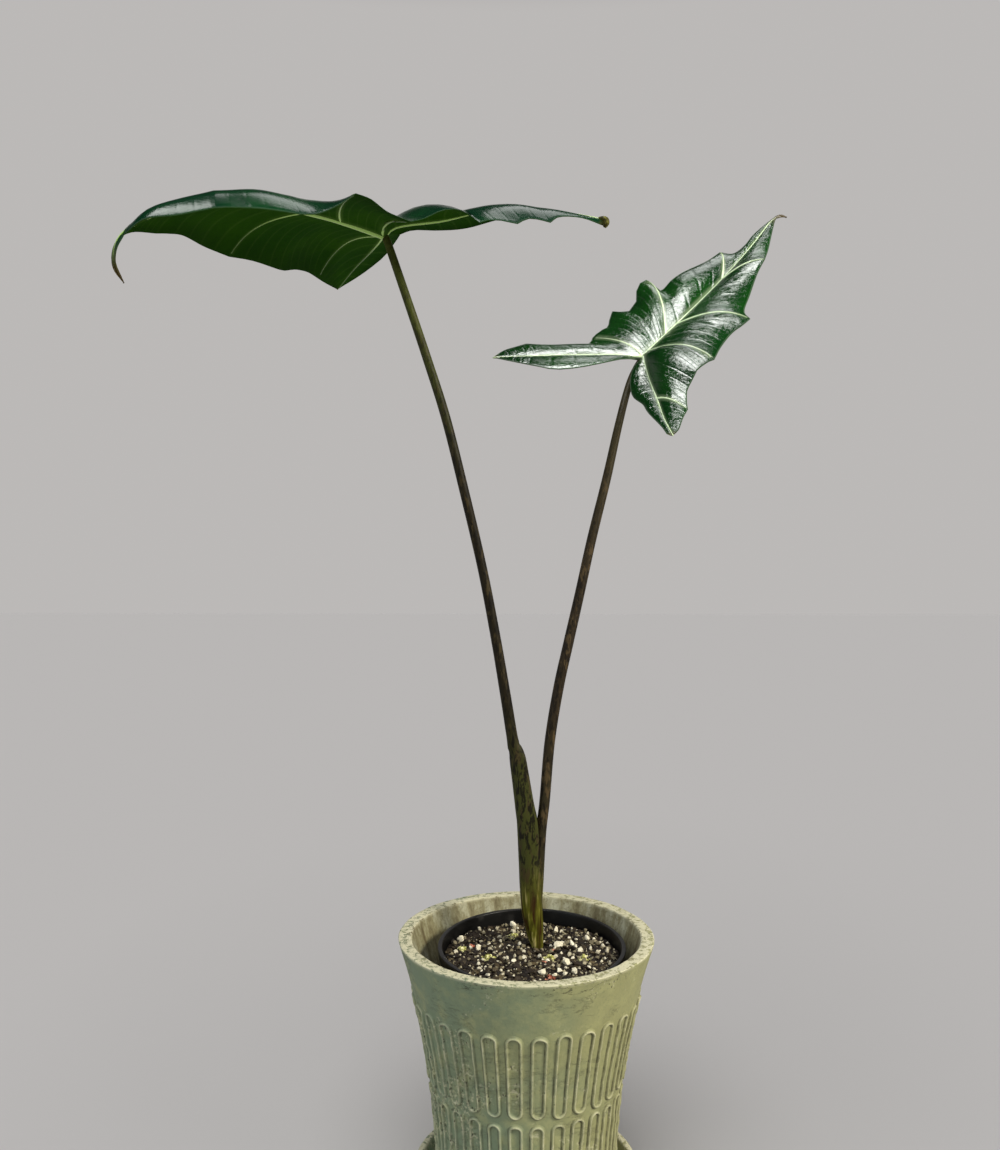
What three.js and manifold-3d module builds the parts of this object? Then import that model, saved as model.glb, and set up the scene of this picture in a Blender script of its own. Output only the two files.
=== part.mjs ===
// A potted arrow-leaved aroid: ceramic pot on its saucer, nursery pot, soil, two stems and two leaves.
// Millimetres, +Z up. The origin is the centre of the saucer's underside, and -Y is the front.
import * as THREE from 'three';
import { mergeVertices } from 'three/addons/utils/BufferGeometryUtils.js';
import Module from 'manifold-3d';

const wasm = await Module();
wasm.setup();

// Clearance between pieces that are cut to fit each other, and how close two points are the same one
const GAP = 0.3;
const SAME_SPOT = 0.01;
const TINY = 1e-6;

// Flat sides round a plain turned piece, and the bevel of its edges
const ROUND_SIDES = 48;
const BEVEL = 1;

// Saucer
const SAUCER_RIM_R = 88;
const SAUCER_FOOT_R = 74;
const SAUCER_HEIGHT = 23;
const SAUCER_FLOOR = 6;
const SAUCER_WALL = 5;
const SAUCER_BEND_Z = 8;
const SAUCER_BEND_OUT = 4;
const SAUCER_LIP = 2.5;

// Ceramic pot
const POT_FOOT_R = 69;
const POT_RIM_R = 100;
const POT_HEIGHT = 198;
const POT_WALL = 9.5;
const POT_FLOOR = 10;
const POT_FOOT_Z = SAUCER_FLOOR;
const POT_RIM_Z = POT_FOOT_Z + POT_HEIGHT;
const POT_RIM_ROUND = 2;
const POT_FOOT_BEVEL = 2.5;
const POT_LEVELS_UNDER_RIM = [12, 3];
const POT_LEVELS_INSIDE = [20, 85];

// Ovals raised on the pot in two rows
const OVALS_ROUND = 30;
const FIRST_OVAL = THREE.MathUtils.degToRad(-90 + 6.4);
const OVAL_HALF_ANGLE = THREE.MathUtils.degToRad(3.3);
const OVAL_ROW_MIDDLES = [60, 130.5];
const OVAL_HEIGHT = 64.5;
const OVAL_END_STEPS = 3;
const BEAD_HALF = 1.5;
const BEAD_RISE = 1.2;
const BEAD_ROOT = 1.2;

// Nursery pot, standing inside and a little to the right
const NURSERY_X = 4.5;
const NURSERY_Z = POT_FOOT_Z + POT_FLOOR;
const NURSERY_TOP_Z = 195.5;
const NURSERY_BOTTOM_R = 52;
const NURSERY_TOP_R = 72;
const NURSERY_WALL = 1.5;
const NURSERY_FLOOR = 2;
const NURSERY_LIP = 2;
const NURSERY_LIP_DEPTH = 9;
const DRAIN_HOLES = 8;
const DRAIN_R = 4;
const DRAIN_RING_R = 38;

// Soil and the grains that lie half sunk in it
const SOIL_Z = 186.5;
const SOIL_MOUND = 1.5;
const SOIL_RINGS = 4;
const SOIL_SIDES = 30;
const GRAINS = 56;
const GRAIN_R = [2.0, 3.4];
const GRAIN_SQUASH = [[0.8, 1.3], [0.8, 1.3], [0.7, 1]];
const GRAIN_LIFT = [0.6, 1.6];
const GRAIN_FROM_WALL = 5;
const GRAIN_FROM_STEM = 10;
const SOIL_ROUGH = 1.2;
const GOLDEN_TURN = Math.PI * (3 - Math.sqrt(5));

// Stem base
const STEM = [9, 13];
const STEM_R = 3;
const STEM_DEPTH = 24;

// Leaf blades
const BLADE = 1.0;
const VEIN_STEPS = 4;
const MIDRIB_STEP = 0.06;
const ACROSS = [0, 0.035, 0.09, 0.27, 0.5, 0.74, 1];
const RIB_WIDTH = 5;
const RIB_HEIGHT = 2.4;
const VEIN_BOW = 0.09;
const INNER_BOW = 0.054;
const SHORT_REACH = 30;
const SLIMMEST_RIB = 0.35;
const PUCKER_CREST = 0.8;
const INNER_PUCKERS = 3;
const CURVE_DIVISIONS = 400;

// Each vein runs from a place along the midrib or the side rib to a point of the edge. A midrib place is
// 0 at the stalk and 1 at the drip tip, and a side rib place is 0 at the stalk and 1 at the lobe's end.
// The edge between two veins passes through the points listed as its bay. The left and right halves are
// those of a leaf seen from its stalk towards its tip, with the glossy face up. The inner edge of a lobe
// runs from the sinus, where the two lobes meet behind the stalk, to the lobe's end.
const LEFT_LEAF = {
  midrib: [[-107, -30, 741], [-128, -54, 742], [-146, -80, 740], [-176, -125, 733], [-208, -168, 717],
    [-225, -192, 702], [-235, -200, 692], [-240, -202, 684], [-241, -202, 673], [-238, -196, 662]],
  sinus: [-97, -16, 746],
  pucker: 0.02,
  left: {
    rib: [[-107, -30, 741], [-96, -34, 747], [-64, -42, 748], [-44, -46, 751], [-19, -50, 755],
      [10, -54, 752], [38, -58, 746], [54, -60, 742], [58, -61, 740], [56, -60, 737]],
    veins: [
      { mid: 1, edge: [-238, -196, 662], bay: [[-240, -202, 669], [-239, -204, 679]], arch: 0 },
      { mid: 0.8, edge: [-235, -203, 688], bay: [[-222, -206, 696], [-205, -198, 701]], arch: 0.1 },
      { mid: 0.56, edge: [-187, -186, 709], bay: [[-179, -178, 712], [-162, -166, 715]], arch: 0.19 },
      { mid: 0.36, edge: [-143, -150, 717], bay: [[-133, -142, 720], [-122, -136, 727]], arch: 0.16 },
      { mid: 0.16, edge: [-111, -130, 737], bay: [[-102, -125, 735], [-92, -114, 730]], arch: 0 },
      { rib: 0, edge: [-78, -104, 727], bay: [[-69, -101, 730], [-56, -97, 737], [-44, -92, 738]],
        arch: 0.08 },
      { rib: 0.36, edge: [-32, -88, 731], bay: [[-24, -88, 730], [-8, -84, 733], [2, -82, 735]], arch: 0.13 },
      { rib: 0.68, edge: [16, -78, 735], bay: [[27, -72, 740], [40, -66, 741]], arch: 0.12 },
      { rib: 1, edge: [56, -60, 737], bay: [], arch: 0 },
    ],
    inner: [[-87, -8, 754], [-67, -10, 755], [-45, -18, 754], [-12, -30, 756], [25, -45, 750],
      [51, -57, 743]],
    innerArch: 0.05,
  },
  right: {
    rib: [[-107, -30, 741], [-116, 0, 744], [-128, 30, 745], [-147, 70, 744], [-168, 110, 738]],
    veins: [
      { mid: 1, edge: [-238, -196, 662], bay: [[-242, -202, 669], [-243, -200, 680]], arch: 0 },
      { mid: 0.8, edge: [-239, -198, 689], bay: [[-234, -190, 694]], arch: 0.05 },
      { mid: 0.66, edge: [-230, -165, 701], bay: [[-226, -155, 704], [-222, -138, 708], [-219, -105, 711]],
        arch: 0.08 },
      { mid: 0.3, edge: [-211, -75, 713], bay: [[-200, -50, 717], [-189, -12, 721]], arch: 0.08 },
      { mid: 0.16, edge: [-185, 2, 725], bay: [[-182, 12, 728], [-178, 34, 732]], arch: 0.08 },
      { rib: 0, edge: [-175, 60, 734], bay: [[-173, 82, 736]], arch: 0.08 },
      { rib: 1, edge: [-168, 110, 738], bay: [], arch: 0 },
    ],
    inner: [[-99, 2, 751], [-108, 28, 751], [-118, 48, 748], [-142, 84, 744]],
    innerArch: 0.05,
  },
};

const RIGHT_LEAF = {
  midrib: [[95, 40, 664], [122, 50, 690], [145, 61, 713], [167, 72, 736], [193, 86, 766],
    [209, 95, 787], [216, 98, 794], [221, 100, 797], [227, 103, 796]],
  sinus: [93, 44, 661],
  pucker: 0.03,
  left: {
    rib: [[95, 40, 664], [66, 46, 666], [29, 52, 667], [-13, 58, 667], [-28, 60, 667]],
    veins: [
      { mid: 1, edge: [227, 103, 796], bay: [[223, 102, 798]], arch: 0 },
      { mid: 0.955, edge: [217, 99, 796],
        bay: [[207, 97, 788], [196, 94, 778], [188, 90, 768], [178, 90, 761]], arch: 0.05 },
      { mid: 0.52, edge: [168, 96, 764],
        bay: [[155, 88, 754], [135, 84, 744], [124, 80, 736], [114, 80, 727]], arch: 0.07 },
      { mid: 0.14, edge: [104, 94, 740], bay: [[96, 92, 734], [94, 82, 718], [87, 78, 709]], arch: 0.07 },
      { mid: 0.07, edge: [74, 86, 711], bay: [[71, 80, 702], [69, 74, 695], [62, 72, 691]], arch: 0.07 },
      { rib: 0, edge: [56, 70, 685], bay: [[53, 68, 680], [38, 66, 679], [18, 68, 679]], arch: 0.07 },
      { rib: 0.72, edge: [0, 72, 681], bay: [[-9, 70, 678], [-19, 66, 674]], arch: 0.1 },
      { rib: 1, edge: [-28, 60, 667], bay: [], arch: 0 },
    ],
    inner: [[79, 38, 661], [62, 34, 657], [42, 32, 653], [24, 34, 652], [11, 38, 655], [-10, 48, 661]],
    innerArch: 0.08,
  },
  right: {
    rib: [[95, 40, 664], [99, 26, 642], [103, 8, 623], [106, -10, 606], [110, -28, 591]],
    veins: [
      { mid: 1, edge: [227, 103, 796], bay: [[222, 100, 795]], arch: 0 },
      { mid: 0.955, edge: [216, 98, 793], bay: [[210, 86, 775], [205, 76, 760]], arch: 0.04 },
      { mid: 0.52, edge: [199, 62, 748], bay: [[192, 58, 735], [184, 50, 715], [177, 38, 699]], arch: 0.08 },
      { mid: 0.21, edge: [180, 30, 691], bay: [[173, 27, 685], [165, 26, 679], [155, 18, 667]], arch: 0.09 },
      { mid: 0.03, edge: [147, 6, 654], bay: [[140, 5, 651]], arch: 0.09 },
      { rib: 0, edge: [133, 2, 645], bay: [[128, 1, 635], [125, 0, 629], [124, -5, 620]], arch: 0.09 },
      { rib: 0.5, edge: [124, -10, 613], bay: [[119, -18, 605], [115, -25, 596]], arch: 0.08 },
      { rib: 1, edge: [110, -28, 591], bay: [], arch: 0 },
    ],
    inner: [[88, 40, 655], [85, 34, 640], [85, 24, 627], [92, 12, 620], [95, 2, 612], [103, -16, 599],
      [106, -26, 592]],
    innerArch: 0.1,
  },
};

// Left stem with the sheath that clasps the right stem: centre, half width and half depth
const LEFT_STEM = [
  { at: [...STEM, SOIL_Z - STEM_DEPTH], wide: STEM_R, deep: STEM_R },
  { at: [...STEM, SOIL_Z + 3], wide: STEM_R, deep: STEM_R },
  { at: [9, 13, 193], wide: 4.6, deep: 4.4 },
  { at: [7, 13, 202], wide: 7, deep: 5.8 },
  { at: [5, 12, 218], wide: 8.5, deep: 6.8 },
  { at: [4, 12, 238], wide: 9.1, deep: 7.2 },
  { at: [2, 11, 282], wide: 9, deep: 6.8 },
  { at: [-1, 10, 303], wide: 7.8, deep: 6 },
  { at: [-7, 9, 343], wide: 6.7, deep: 5 },
  { at: [-10, 8, 352], wide: 4.5, deep: 4.4 },
  { at: [-16, 4, 390], wide: 4.2, deep: 4.2 },
  { at: [-24, 0, 438], wide: 3.9, deep: 3.9 },
  { at: [-34, -5, 491], wide: 3.7, deep: 3.7 },
  { at: [-47, -12, 548], wide: 3.7, deep: 3.7 },
  { at: [-61, -18, 605], wide: 3.6, deep: 3.6 },
  { at: [-75, -23, 650], wide: 3.4, deep: 3.4 },
  { at: [-90, -27, 695], wide: 3.2, deep: 3.2 },
  { at: [-104, -30, 736], wide: 3, deep: 3 },
  { at: [-106.5, -30, 741], wide: 2.6, deep: 2.6 },
];

// Right stem, which starts inside the left stem's sheath
const RIGHT_STEM = [
  { at: [9, 12, 212], wide: 3.2, deep: 3.2 },
  { at: [10, 12, 238], wide: 4, deep: 4 },
  { at: [12, 13, 279], wide: 4.2, deep: 4.2 },
  { at: [15, 14, 306], wide: 4.2, deep: 4.2 },
  { at: [19, 16, 352], wide: 4.2, deep: 4.2 },
  { at: [26, 18, 395], wide: 4.2, deep: 4.2 },
  { at: [34, 20, 431], wide: 4.1, deep: 4.1 },
  { at: [43, 23, 470], wide: 3.9, deep: 3.9 },
  { at: [53, 26, 515], wide: 3.8, deep: 3.8 },
  { at: [65, 30, 563], wide: 3.6, deep: 3.6 },
  { at: [75, 34, 607], wide: 3.2, deep: 3.2 },
  { at: [83, 37, 640], wide: 2.9, deep: 2.9 },
  { at: [90, 39, 657], wide: 2.8, deep: 2.8 },
  { at: [94.5, 40, 663.6], wide: 2.4, deep: 2.4 },
];
const STEM_SIDES = 12;

// Colours, roughness and metalness of each material
const MATERIALS = {
  glaze: { color: 0x8f957f, roughness: 0.6, metalness: 0 },
  nursery: { color: 0x101112, roughness: 0.5, metalness: 0 },
  soil: { color: 0x3b2f28, roughness: 0.95, metalness: 0 },
  stem: { color: 0x3f3a1c, roughness: 0.5, metalness: 0 },
  leaf: { color: 0x1f4a1c, roughness: 0.3, metalness: 0 },
};

// A repeatable stream of numbers from 0 to 1
function seeded(seed) {
  let state = seed;
  return () => {
    state = (state * 1664525 + 1013904223) % 4294967296;
    return state / 4294967296;
  };
}

function signedVolume(positions, index) {
  const a = new THREE.Vector3();
  const b = new THREE.Vector3();
  const c = new THREE.Vector3();
  let sum = 0;
  for (let i = 0; i < index.length; i += 3) {
    a.fromArray(positions, index[i] * 3);
    b.fromArray(positions, index[i + 1] * 3);
    c.fromArray(positions, index[i + 2] * 3);
    sum += a.dot(b.cross(c));
  }
  return sum / 6;
}

// A closed geometry as a solid, with its faces turned to point out
function toSolid(geometry) {
  const bare = geometry.clone();
  bare.deleteAttribute('normal');
  bare.deleteAttribute('uv');
  const merged = mergeVertices(bare, 1e-4);
  const positions = merged.attributes.position.array;
  const index = [];
  for (let i = 0; i < merged.index.count; i += 3) {
    const [a, b, c] = [0, 1, 2].map((k) => merged.index.getX(i + k));
    if (a !== b && b !== c && a !== c) index.push(a, b, c);
  }
  if (signedVolume(positions, index) < 0) index.reverse();
  return new wasm.Manifold(new wasm.Mesh({
    numProp: 3,
    vertProperties: new Float32Array(positions),
    triVerts: new Uint32Array(index),
  }));
}

function toGeometry(solid) {
  const mesh = solid.getMesh();
  const geometry = new THREE.BufferGeometry();
  geometry.setAttribute('position', new THREE.BufferAttribute(mesh.vertProperties, 3));
  geometry.setIndex(new THREE.BufferAttribute(mesh.triVerts, 1));
  return geometry;
}

function geometryFrom(points, index) {
  const geometry = new THREE.BufferGeometry();
  const flat = points.flatMap((p) => [p.x, p.y, p.z]);
  geometry.setAttribute('position', new THREE.Float32BufferAttribute(flat, 3));
  geometry.setIndex(index);
  return geometry;
}

// A profile of [radius, height] pairs turned about the Z axis
function turned(profile, { sides = ROUND_SIDES, x = 0, turn = 0 } = {}) {
  const points = profile.map(([r, z]) => new THREE.Vector2(r, z));
  const geometry = new THREE.LatheGeometry(points, sides);
  geometry.rotateX(Math.PI / 2);
  geometry.rotateZ(turn);
  geometry.translate(x, 0, 0);
  return toSolid(geometry);
}

function cylinder(radius, bottom, top, x, y) {
  const geometry = new THREE.CylinderGeometry(radius, radius, top - bottom, STEM_SIDES);
  geometry.rotateX(Math.PI / 2);
  geometry.translate(x, y, (bottom + top) / 2);
  return toSolid(geometry);
}

function makeSaucer() {
  const inner = SAUCER_RIM_R - SAUCER_WALL;
  return turned([
    [0, 0],
    [SAUCER_FOOT_R - BEVEL, 0],
    [SAUCER_FOOT_R, BEVEL],
    [SAUCER_FOOT_R + SAUCER_BEND_OUT, SAUCER_BEND_Z],
    [SAUCER_RIM_R, SAUCER_HEIGHT - SAUCER_LIP],
    [SAUCER_RIM_R - BEVEL, SAUCER_HEIGHT - BEVEL / 2],
    [SAUCER_RIM_R - SAUCER_LIP, SAUCER_HEIGHT],
    [inner + BEVEL, SAUCER_HEIGHT - BEVEL / 2],
    [inner, SAUCER_HEIGHT - SAUCER_LIP],
    [SAUCER_FOOT_R, SAUCER_FLOOR + SAUCER_LIP],
    [SAUCER_FOOT_R - SAUCER_LIP, SAUCER_FLOOR],
    [0, SAUCER_FLOOR],
  ]);
}

// The pot flares from its foot to its rim
function potRadius(z) {
  const rise = (z - POT_FOOT_Z) / POT_HEIGHT;
  return POT_FOOT_R + (POT_RIM_R - POT_FOOT_R) * rise * rise;
}

// One oval outline raised on the pot: a closed bead with three sides
function ovalBead(angle, middle) {
  const end = OVAL_HEIGHT / 2;
  const arc = OVAL_HALF_ANGLE * potRadius(middle);
  const path = [];
  for (const up of [1, -1]) {
    for (let k = 0; k <= OVAL_END_STEPS; k += 1) {
      const turn = Math.PI * (k / OVAL_END_STEPS);
      const across = up * Math.cos(turn);
      path.push([across * OVAL_HALF_ANGLE, middle + up * (end - arc + arc * Math.sin(turn))]);
    }
  }
  const centres = path.map(([swing, z]) => {
    const radial = new THREE.Vector3(Math.cos(angle + swing), Math.sin(angle + swing), 0);
    return { radial, spot: radial.clone().multiplyScalar(potRadius(z)).setZ(z) };
  });
  const count = centres.length;
  const points = [];
  const index = [];
  centres.forEach(({ radial, spot }, i) => {
    const ahead = centres[(i + 1) % count].spot;
    const behind = centres[(i + count - 1) % count].spot;
    const side = new THREE.Vector3().crossVectors(radial, ahead.clone().sub(behind)).normalize();
    const root = spot.clone().addScaledVector(radial, -BEAD_ROOT);
    points.push(spot.clone().addScaledVector(radial, BEAD_RISE));
    points.push(root.clone().addScaledVector(side, -BEAD_HALF));
    points.push(root.clone().addScaledVector(side, BEAD_HALF));
    for (let k = 0; k < 3; k += 1) {
      const a = i * 3 + k;
      const b = i * 3 + ((k + 1) % 3);
      const c = ((i + 1) % count) * 3 + ((k + 1) % 3);
      const d = ((i + 1) % count) * 3 + k;
      index.push(a, b, c, a, c, d);
    }
  });
  return toSolid(geometryFrom(points, index));
}

// Each side of the pot carries one oval of each row
function makePot() {
  const [low, high] = OVAL_ROW_MIDDLES;
  const half = OVAL_HEIGHT / 2;
  const atOvals = [low - half, low, (low + high) / 2, high, high + half];
  const underRim = POT_LEVELS_UNDER_RIM.map((down) => POT_RIM_Z - down);
  const outer = [POT_FOOT_Z + POT_FOOT_BEVEL, ...atOvals, ...underRim].map((z) => [potRadius(z), z]);
  const inside = [...POT_LEVELS_INSIDE.map((down) => POT_RIM_Z - down), NURSERY_Z];
  const body = turned([
    [0, POT_FOOT_Z],
    [POT_FOOT_R - POT_FOOT_BEVEL, POT_FOOT_Z],
    ...outer,
    [POT_RIM_R - POT_RIM_ROUND / 3, POT_RIM_Z - POT_RIM_ROUND / 2],
    [POT_RIM_R - POT_RIM_ROUND, POT_RIM_Z],
    [POT_RIM_R - POT_WALL, POT_RIM_Z],
    ...inside.map((z) => [potRadius(z) - POT_WALL, z]),
    [0, NURSERY_Z],
  ], { sides: OVALS_ROUND, turn: FIRST_OVAL + Math.PI / 2 - Math.PI / OVALS_ROUND });
  const beads = [];
  for (const middle of OVAL_ROW_MIDDLES) {
    for (let k = 0; k < OVALS_ROUND; k += 1) {
      beads.push(ovalBead(FIRST_OVAL + (k * 2 * Math.PI) / OVALS_ROUND, middle));
    }
  }
  return wasm.Manifold.union([body, ...beads]);
}

function nurseryRadius(z) {
  const rise = (z - NURSERY_Z) / (NURSERY_TOP_Z - NURSERY_Z);
  return NURSERY_BOTTOM_R + (NURSERY_TOP_R - NURSERY_BOTTOM_R) * rise;
}

function makeNurseryPot() {
  const lip = NURSERY_TOP_Z - NURSERY_LIP_DEPTH;
  let pot = turned([
    [0, NURSERY_Z],
    [NURSERY_BOTTOM_R, NURSERY_Z],
    [nurseryRadius(lip), lip],
    [nurseryRadius(lip) + NURSERY_LIP, lip + BEVEL],
    [NURSERY_TOP_R + NURSERY_LIP, NURSERY_TOP_Z - BEVEL / 2],
    [NURSERY_TOP_R + NURSERY_LIP - BEVEL / 2, NURSERY_TOP_Z],
    [NURSERY_TOP_R - NURSERY_WALL, NURSERY_TOP_Z],
    [nurseryRadius(NURSERY_Z + NURSERY_FLOOR) - NURSERY_WALL, NURSERY_Z + NURSERY_FLOOR],
    [0, NURSERY_Z + NURSERY_FLOOR],
  ], { x: NURSERY_X });
  for (let k = 0; k < DRAIN_HOLES; k += 1) {
    const turn = (k * 2 * Math.PI) / DRAIN_HOLES;
    const x = NURSERY_X + DRAIN_RING_R * Math.cos(turn);
    const y = DRAIN_RING_R * Math.sin(turn);
    pot = pot.subtract(cylinder(DRAIN_R, NURSERY_Z - GAP, NURSERY_Z + NURSERY_FLOOR + GAP, x, y));
  }
  return pot;
}

// A broken grain with a few flat sides
function grain(random, x, y, z) {
  const size = THREE.MathUtils.lerp(...GRAIN_R, random());
  const geometry = new THREE.IcosahedronGeometry(size, 0);
  geometry.scale(...GRAIN_SQUASH.map(([from, to]) => THREE.MathUtils.lerp(from, to, random())));
  geometry.rotateX(random() * Math.PI);
  geometry.rotateZ(random() * Math.PI);
  geometry.translate(x, y, z);
  return toSolid(geometry);
}

function makeSoil() {
  const bottom = NURSERY_Z + NURSERY_FLOOR + GAP;
  const random = seeded(11);
  const wallR = (z) => nurseryRadius(z) - NURSERY_WALL - GAP;
  const points = [new THREE.Vector3(NURSERY_X, 0, SOIL_Z + SOIL_MOUND)];
  const index = [];
  for (let ring = 1; ring <= SOIL_RINGS; ring += 1) {
    const part = ring / SOIL_RINGS;
    for (let k = 0; k < SOIL_SIDES; k += 1) {
      const turn = (k * 2 * Math.PI) / SOIL_SIDES;
      const rough = ring < SOIL_RINGS ? THREE.MathUtils.lerp(-SOIL_ROUGH, SOIL_ROUGH, random()) : 0;
      const z = SOIL_Z + SOIL_MOUND * (1 - part * part) + rough;
      const r = wallR(SOIL_Z) * part;
      points.push(new THREE.Vector3(NURSERY_X + r * Math.cos(turn), r * Math.sin(turn), z));
    }
  }
  for (let k = 0; k < SOIL_SIDES; k += 1) {
    const turn = (k * 2 * Math.PI) / SOIL_SIDES;
    const r = wallR(bottom);
    points.push(new THREE.Vector3(NURSERY_X + r * Math.cos(turn), r * Math.sin(turn), bottom));
  }
  points.push(new THREE.Vector3(NURSERY_X, 0, bottom));
  const last = points.length - 1;
  for (let k = 0; k < SOIL_SIDES; k += 1) {
    const next = (k + 1) % SOIL_SIDES;
    index.push(0, 1 + k, 1 + next);
    for (let ring = 0; ring < SOIL_RINGS; ring += 1) {
      const near = 1 + ring * SOIL_SIDES;
      const far = near + SOIL_SIDES;
      index.push(near + k, far + k, far + next, near + k, far + next, near + next);
    }
    const foot = 1 + SOIL_RINGS * SOIL_SIDES;
    index.push(foot + k, last, foot + next);
  }
  const pieces = [toSolid(geometryFrom(points, index))];
  for (let k = 0; k < GRAINS; k += 1) {
    const r = (wallR(SOIL_Z) - GRAIN_FROM_WALL) * Math.sqrt((k + 0.5) / GRAINS);
    const turn = k * GOLDEN_TURN + random() / 2;
    const x = NURSERY_X + r * Math.cos(turn);
    const y = r * Math.sin(turn);
    const z = SOIL_Z + THREE.MathUtils.lerp(...GRAIN_LIFT, random());
    const clearOfStem = Math.hypot(x - STEM[0], y - STEM[1]) > GRAIN_FROM_STEM;
    if (clearOfStem) pieces.push(grain(random, x, y, z));
  }
  const hole = cylinder(STEM_R + GAP, SOIL_Z - STEM_DEPTH - GAP, SOIL_Z + STEM_DEPTH, ...STEM);
  return wasm.Manifold.union(pieces).subtract(hole);
}

// A stem through rings of its own width and depth, grown by an allowance all round
function makeStem(stations, allowance = 0) {
  const middles = stations.map(({ at }) => new THREE.Vector3(...at));
  const path = new THREE.CatmullRomCurve3(middles, false, 'catmullrom');
  const points = [];
  const index = [];
  const count = stations.length;
  stations.forEach(({ wide, deep }, i) => {
    const along = path.getTangent(i / (count - 1));
    const side = new THREE.Vector3().crossVectors(new THREE.Vector3(0, 1, 0), along).normalize();
    const front = new THREE.Vector3().crossVectors(along, side);
    for (let k = 0; k < STEM_SIDES; k += 1) {
      const turn = (k * 2 * Math.PI) / STEM_SIDES;
      const spot = path.points[i].clone();
      spot.addScaledVector(side, (wide + allowance) * Math.cos(turn));
      spot.addScaledVector(front, (deep + allowance) * Math.sin(turn));
      points.push(spot);
    }
  });
  for (let i = 0; i < count - 1; i += 1) {
    for (let k = 0; k < STEM_SIDES; k += 1) {
      const next = (k + 1) % STEM_SIDES;
      const a = i * STEM_SIDES + k;
      const b = i * STEM_SIDES + next;
      index.push(a, b, b + STEM_SIDES, a, b + STEM_SIDES, a + STEM_SIDES);
    }
  }
  const start = points.length;
  points.push(path.points[0].clone().addScaledVector(path.getTangent(0), -allowance));
  points.push(path.points[count - 1].clone());
  const lastRing = (count - 1) * STEM_SIDES;
  for (let k = 0; k < STEM_SIDES; k += 1) {
    const next = (k + 1) % STEM_SIDES;
    index.push(start, next, k);
    index.push(start + 1, lastRing + k, lastRing + next);
  }
  return toSolid(geometryFrom(points, index));
}

// A smooth run through the points, sampled at shares of its length
function smoothRun(points, shares) {
  const knots = points.map((p) => new THREE.Vector3(...p));
  const curve = new THREE.CatmullRomCurve3(knots, false, 'catmullrom');
  curve.arcLengthDivisions = CURVE_DIVISIONS;
  return shares.map((share) => curve.getPointAt(THREE.MathUtils.clamp(share, 0, 1)));
}

function spread(from, to, steps) {
  return Array.from({ length: steps + 1 }, (_, k) => from + ((to - from) * k) / steps);
}

// Places along the midrib where rulings start, the same for both halves, so that they meet along it
function midribPlaces(leaf) {
  const veins = [...leaf.left.veins, ...leaf.right.veins];
  const ends = [...new Set(veins.map(({ mid }) => mid ?? 0))].sort((a, b) => b - a);
  const places = [ends[0]];
  for (let i = 1; i < ends.length; i += 1) {
    const steps = Math.ceil((ends[i - 1] - ends[i]) / MIDRIB_STEP);
    places.push(...spread(ends[i - 1], ends[i], steps).slice(1));
  }
  return places;
}

// Roots and edge points of one half of the blade, from the drip tip round to the lobe's end
function outerRuns(leaf, half) {
  const rulings = [];
  half.veins.slice(0, -1).forEach((vein, i) => {
    const next = half.veins[i + 1];
    const onMidrib = vein.mid !== undefined;
    const from = onMidrib ? vein.mid : vein.rib;
    const to = onMidrib ? next.mid ?? 0 : next.rib;
    const places = onMidrib
      ? midribPlaces(leaf).filter((place) => place < from + TINY && place > to - TINY)
      : spread(from, to, VEIN_STEPS);
    const shares = places.map((place) => (from - place) / (from - to));
    const roots = smoothRun(onMidrib ? leaf.midrib : half.rib, places);
    const edges = smoothRun([vein.edge, ...vein.bay, next.edge], shares);
    roots.forEach((root, k) => {
      if (i > 0 && k === 0) return;
      const arch = THREE.MathUtils.lerp(vein.arch, next.arch, shares[k]);
      rulings.push({ root, edge: edges[k], arch, share: shares[k], place: onMidrib ? 0 : places[k] });
    });
  });
  const stalkAt = new THREE.Vector3(...half.rib[0]);
  const stalk = rulings.findIndex(({ root }) => root.distanceTo(stalkAt) < SAME_SPOT);
  return { rulings, ribRulings: rulings.slice(stalk) };
}

// The sheet between the roots and the edges, as points and triangles shared with the other sheets. A
// ruling bows towards the next root, except where it is straight because two sheets meet on it.
function addSheet(sheet, rulings, bow, turnedOver) {
  const rows = rulings.map(({ root, edge, arch, share, straight }, i) => {
    const ahead = rulings[Math.min(i + 1, rulings.length - 1)].root;
    const behind = rulings[Math.max(i - 1, 0)].root;
    const along = ahead.clone().sub(behind).normalize();
    const reach = edge.distanceTo(root);
    return ACROSS.map((t) => {
      const bend = straight ? 0 : bow * reach * 4 * t * (1 - t);
      const spot = root.clone().lerp(edge, t).addScaledVector(along, bend);
      const rise = arch * Math.sin(Math.PI * t)
        + sheet.pucker * Math.sin(Math.PI * share) ** 2 * Math.sin(Math.PI * t ** PUCKER_CREST);
      const rib = RIB_HEIGHT * Math.max(0, 1 - ((t * reach) / RIB_WIDTH) ** 2);
      const key = [spot.x, spot.y, spot.z].map((value) => Math.round(value * 1000)).join();
      if (!sheet.known.has(key)) {
        sheet.known.set(key, sheet.points.length);
        const slim = THREE.MathUtils.clamp(reach / SHORT_REACH, SLIMMEST_RIB, 1);
        sheet.points.push({ spot, rise: rise * reach, rib: rib * slim });
      }
      return sheet.known.get(key);
    });
  });
  const corner = (a, b, c) => {
    if (a !== b && b !== c && a !== c) sheet.faces.push(turnedOver ? [a, c, b] : [a, b, c]);
  };
  for (let i = 0; i < rows.length - 1; i += 1) {
    for (let j = 0; j < ACROSS.length - 1; j += 1) {
      corner(rows[i][j], rows[i + 1][j], rows[i + 1][j + 1]);
      corner(rows[i][j], rows[i + 1][j + 1], rows[i][j + 1]);
    }
  }
}

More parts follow.
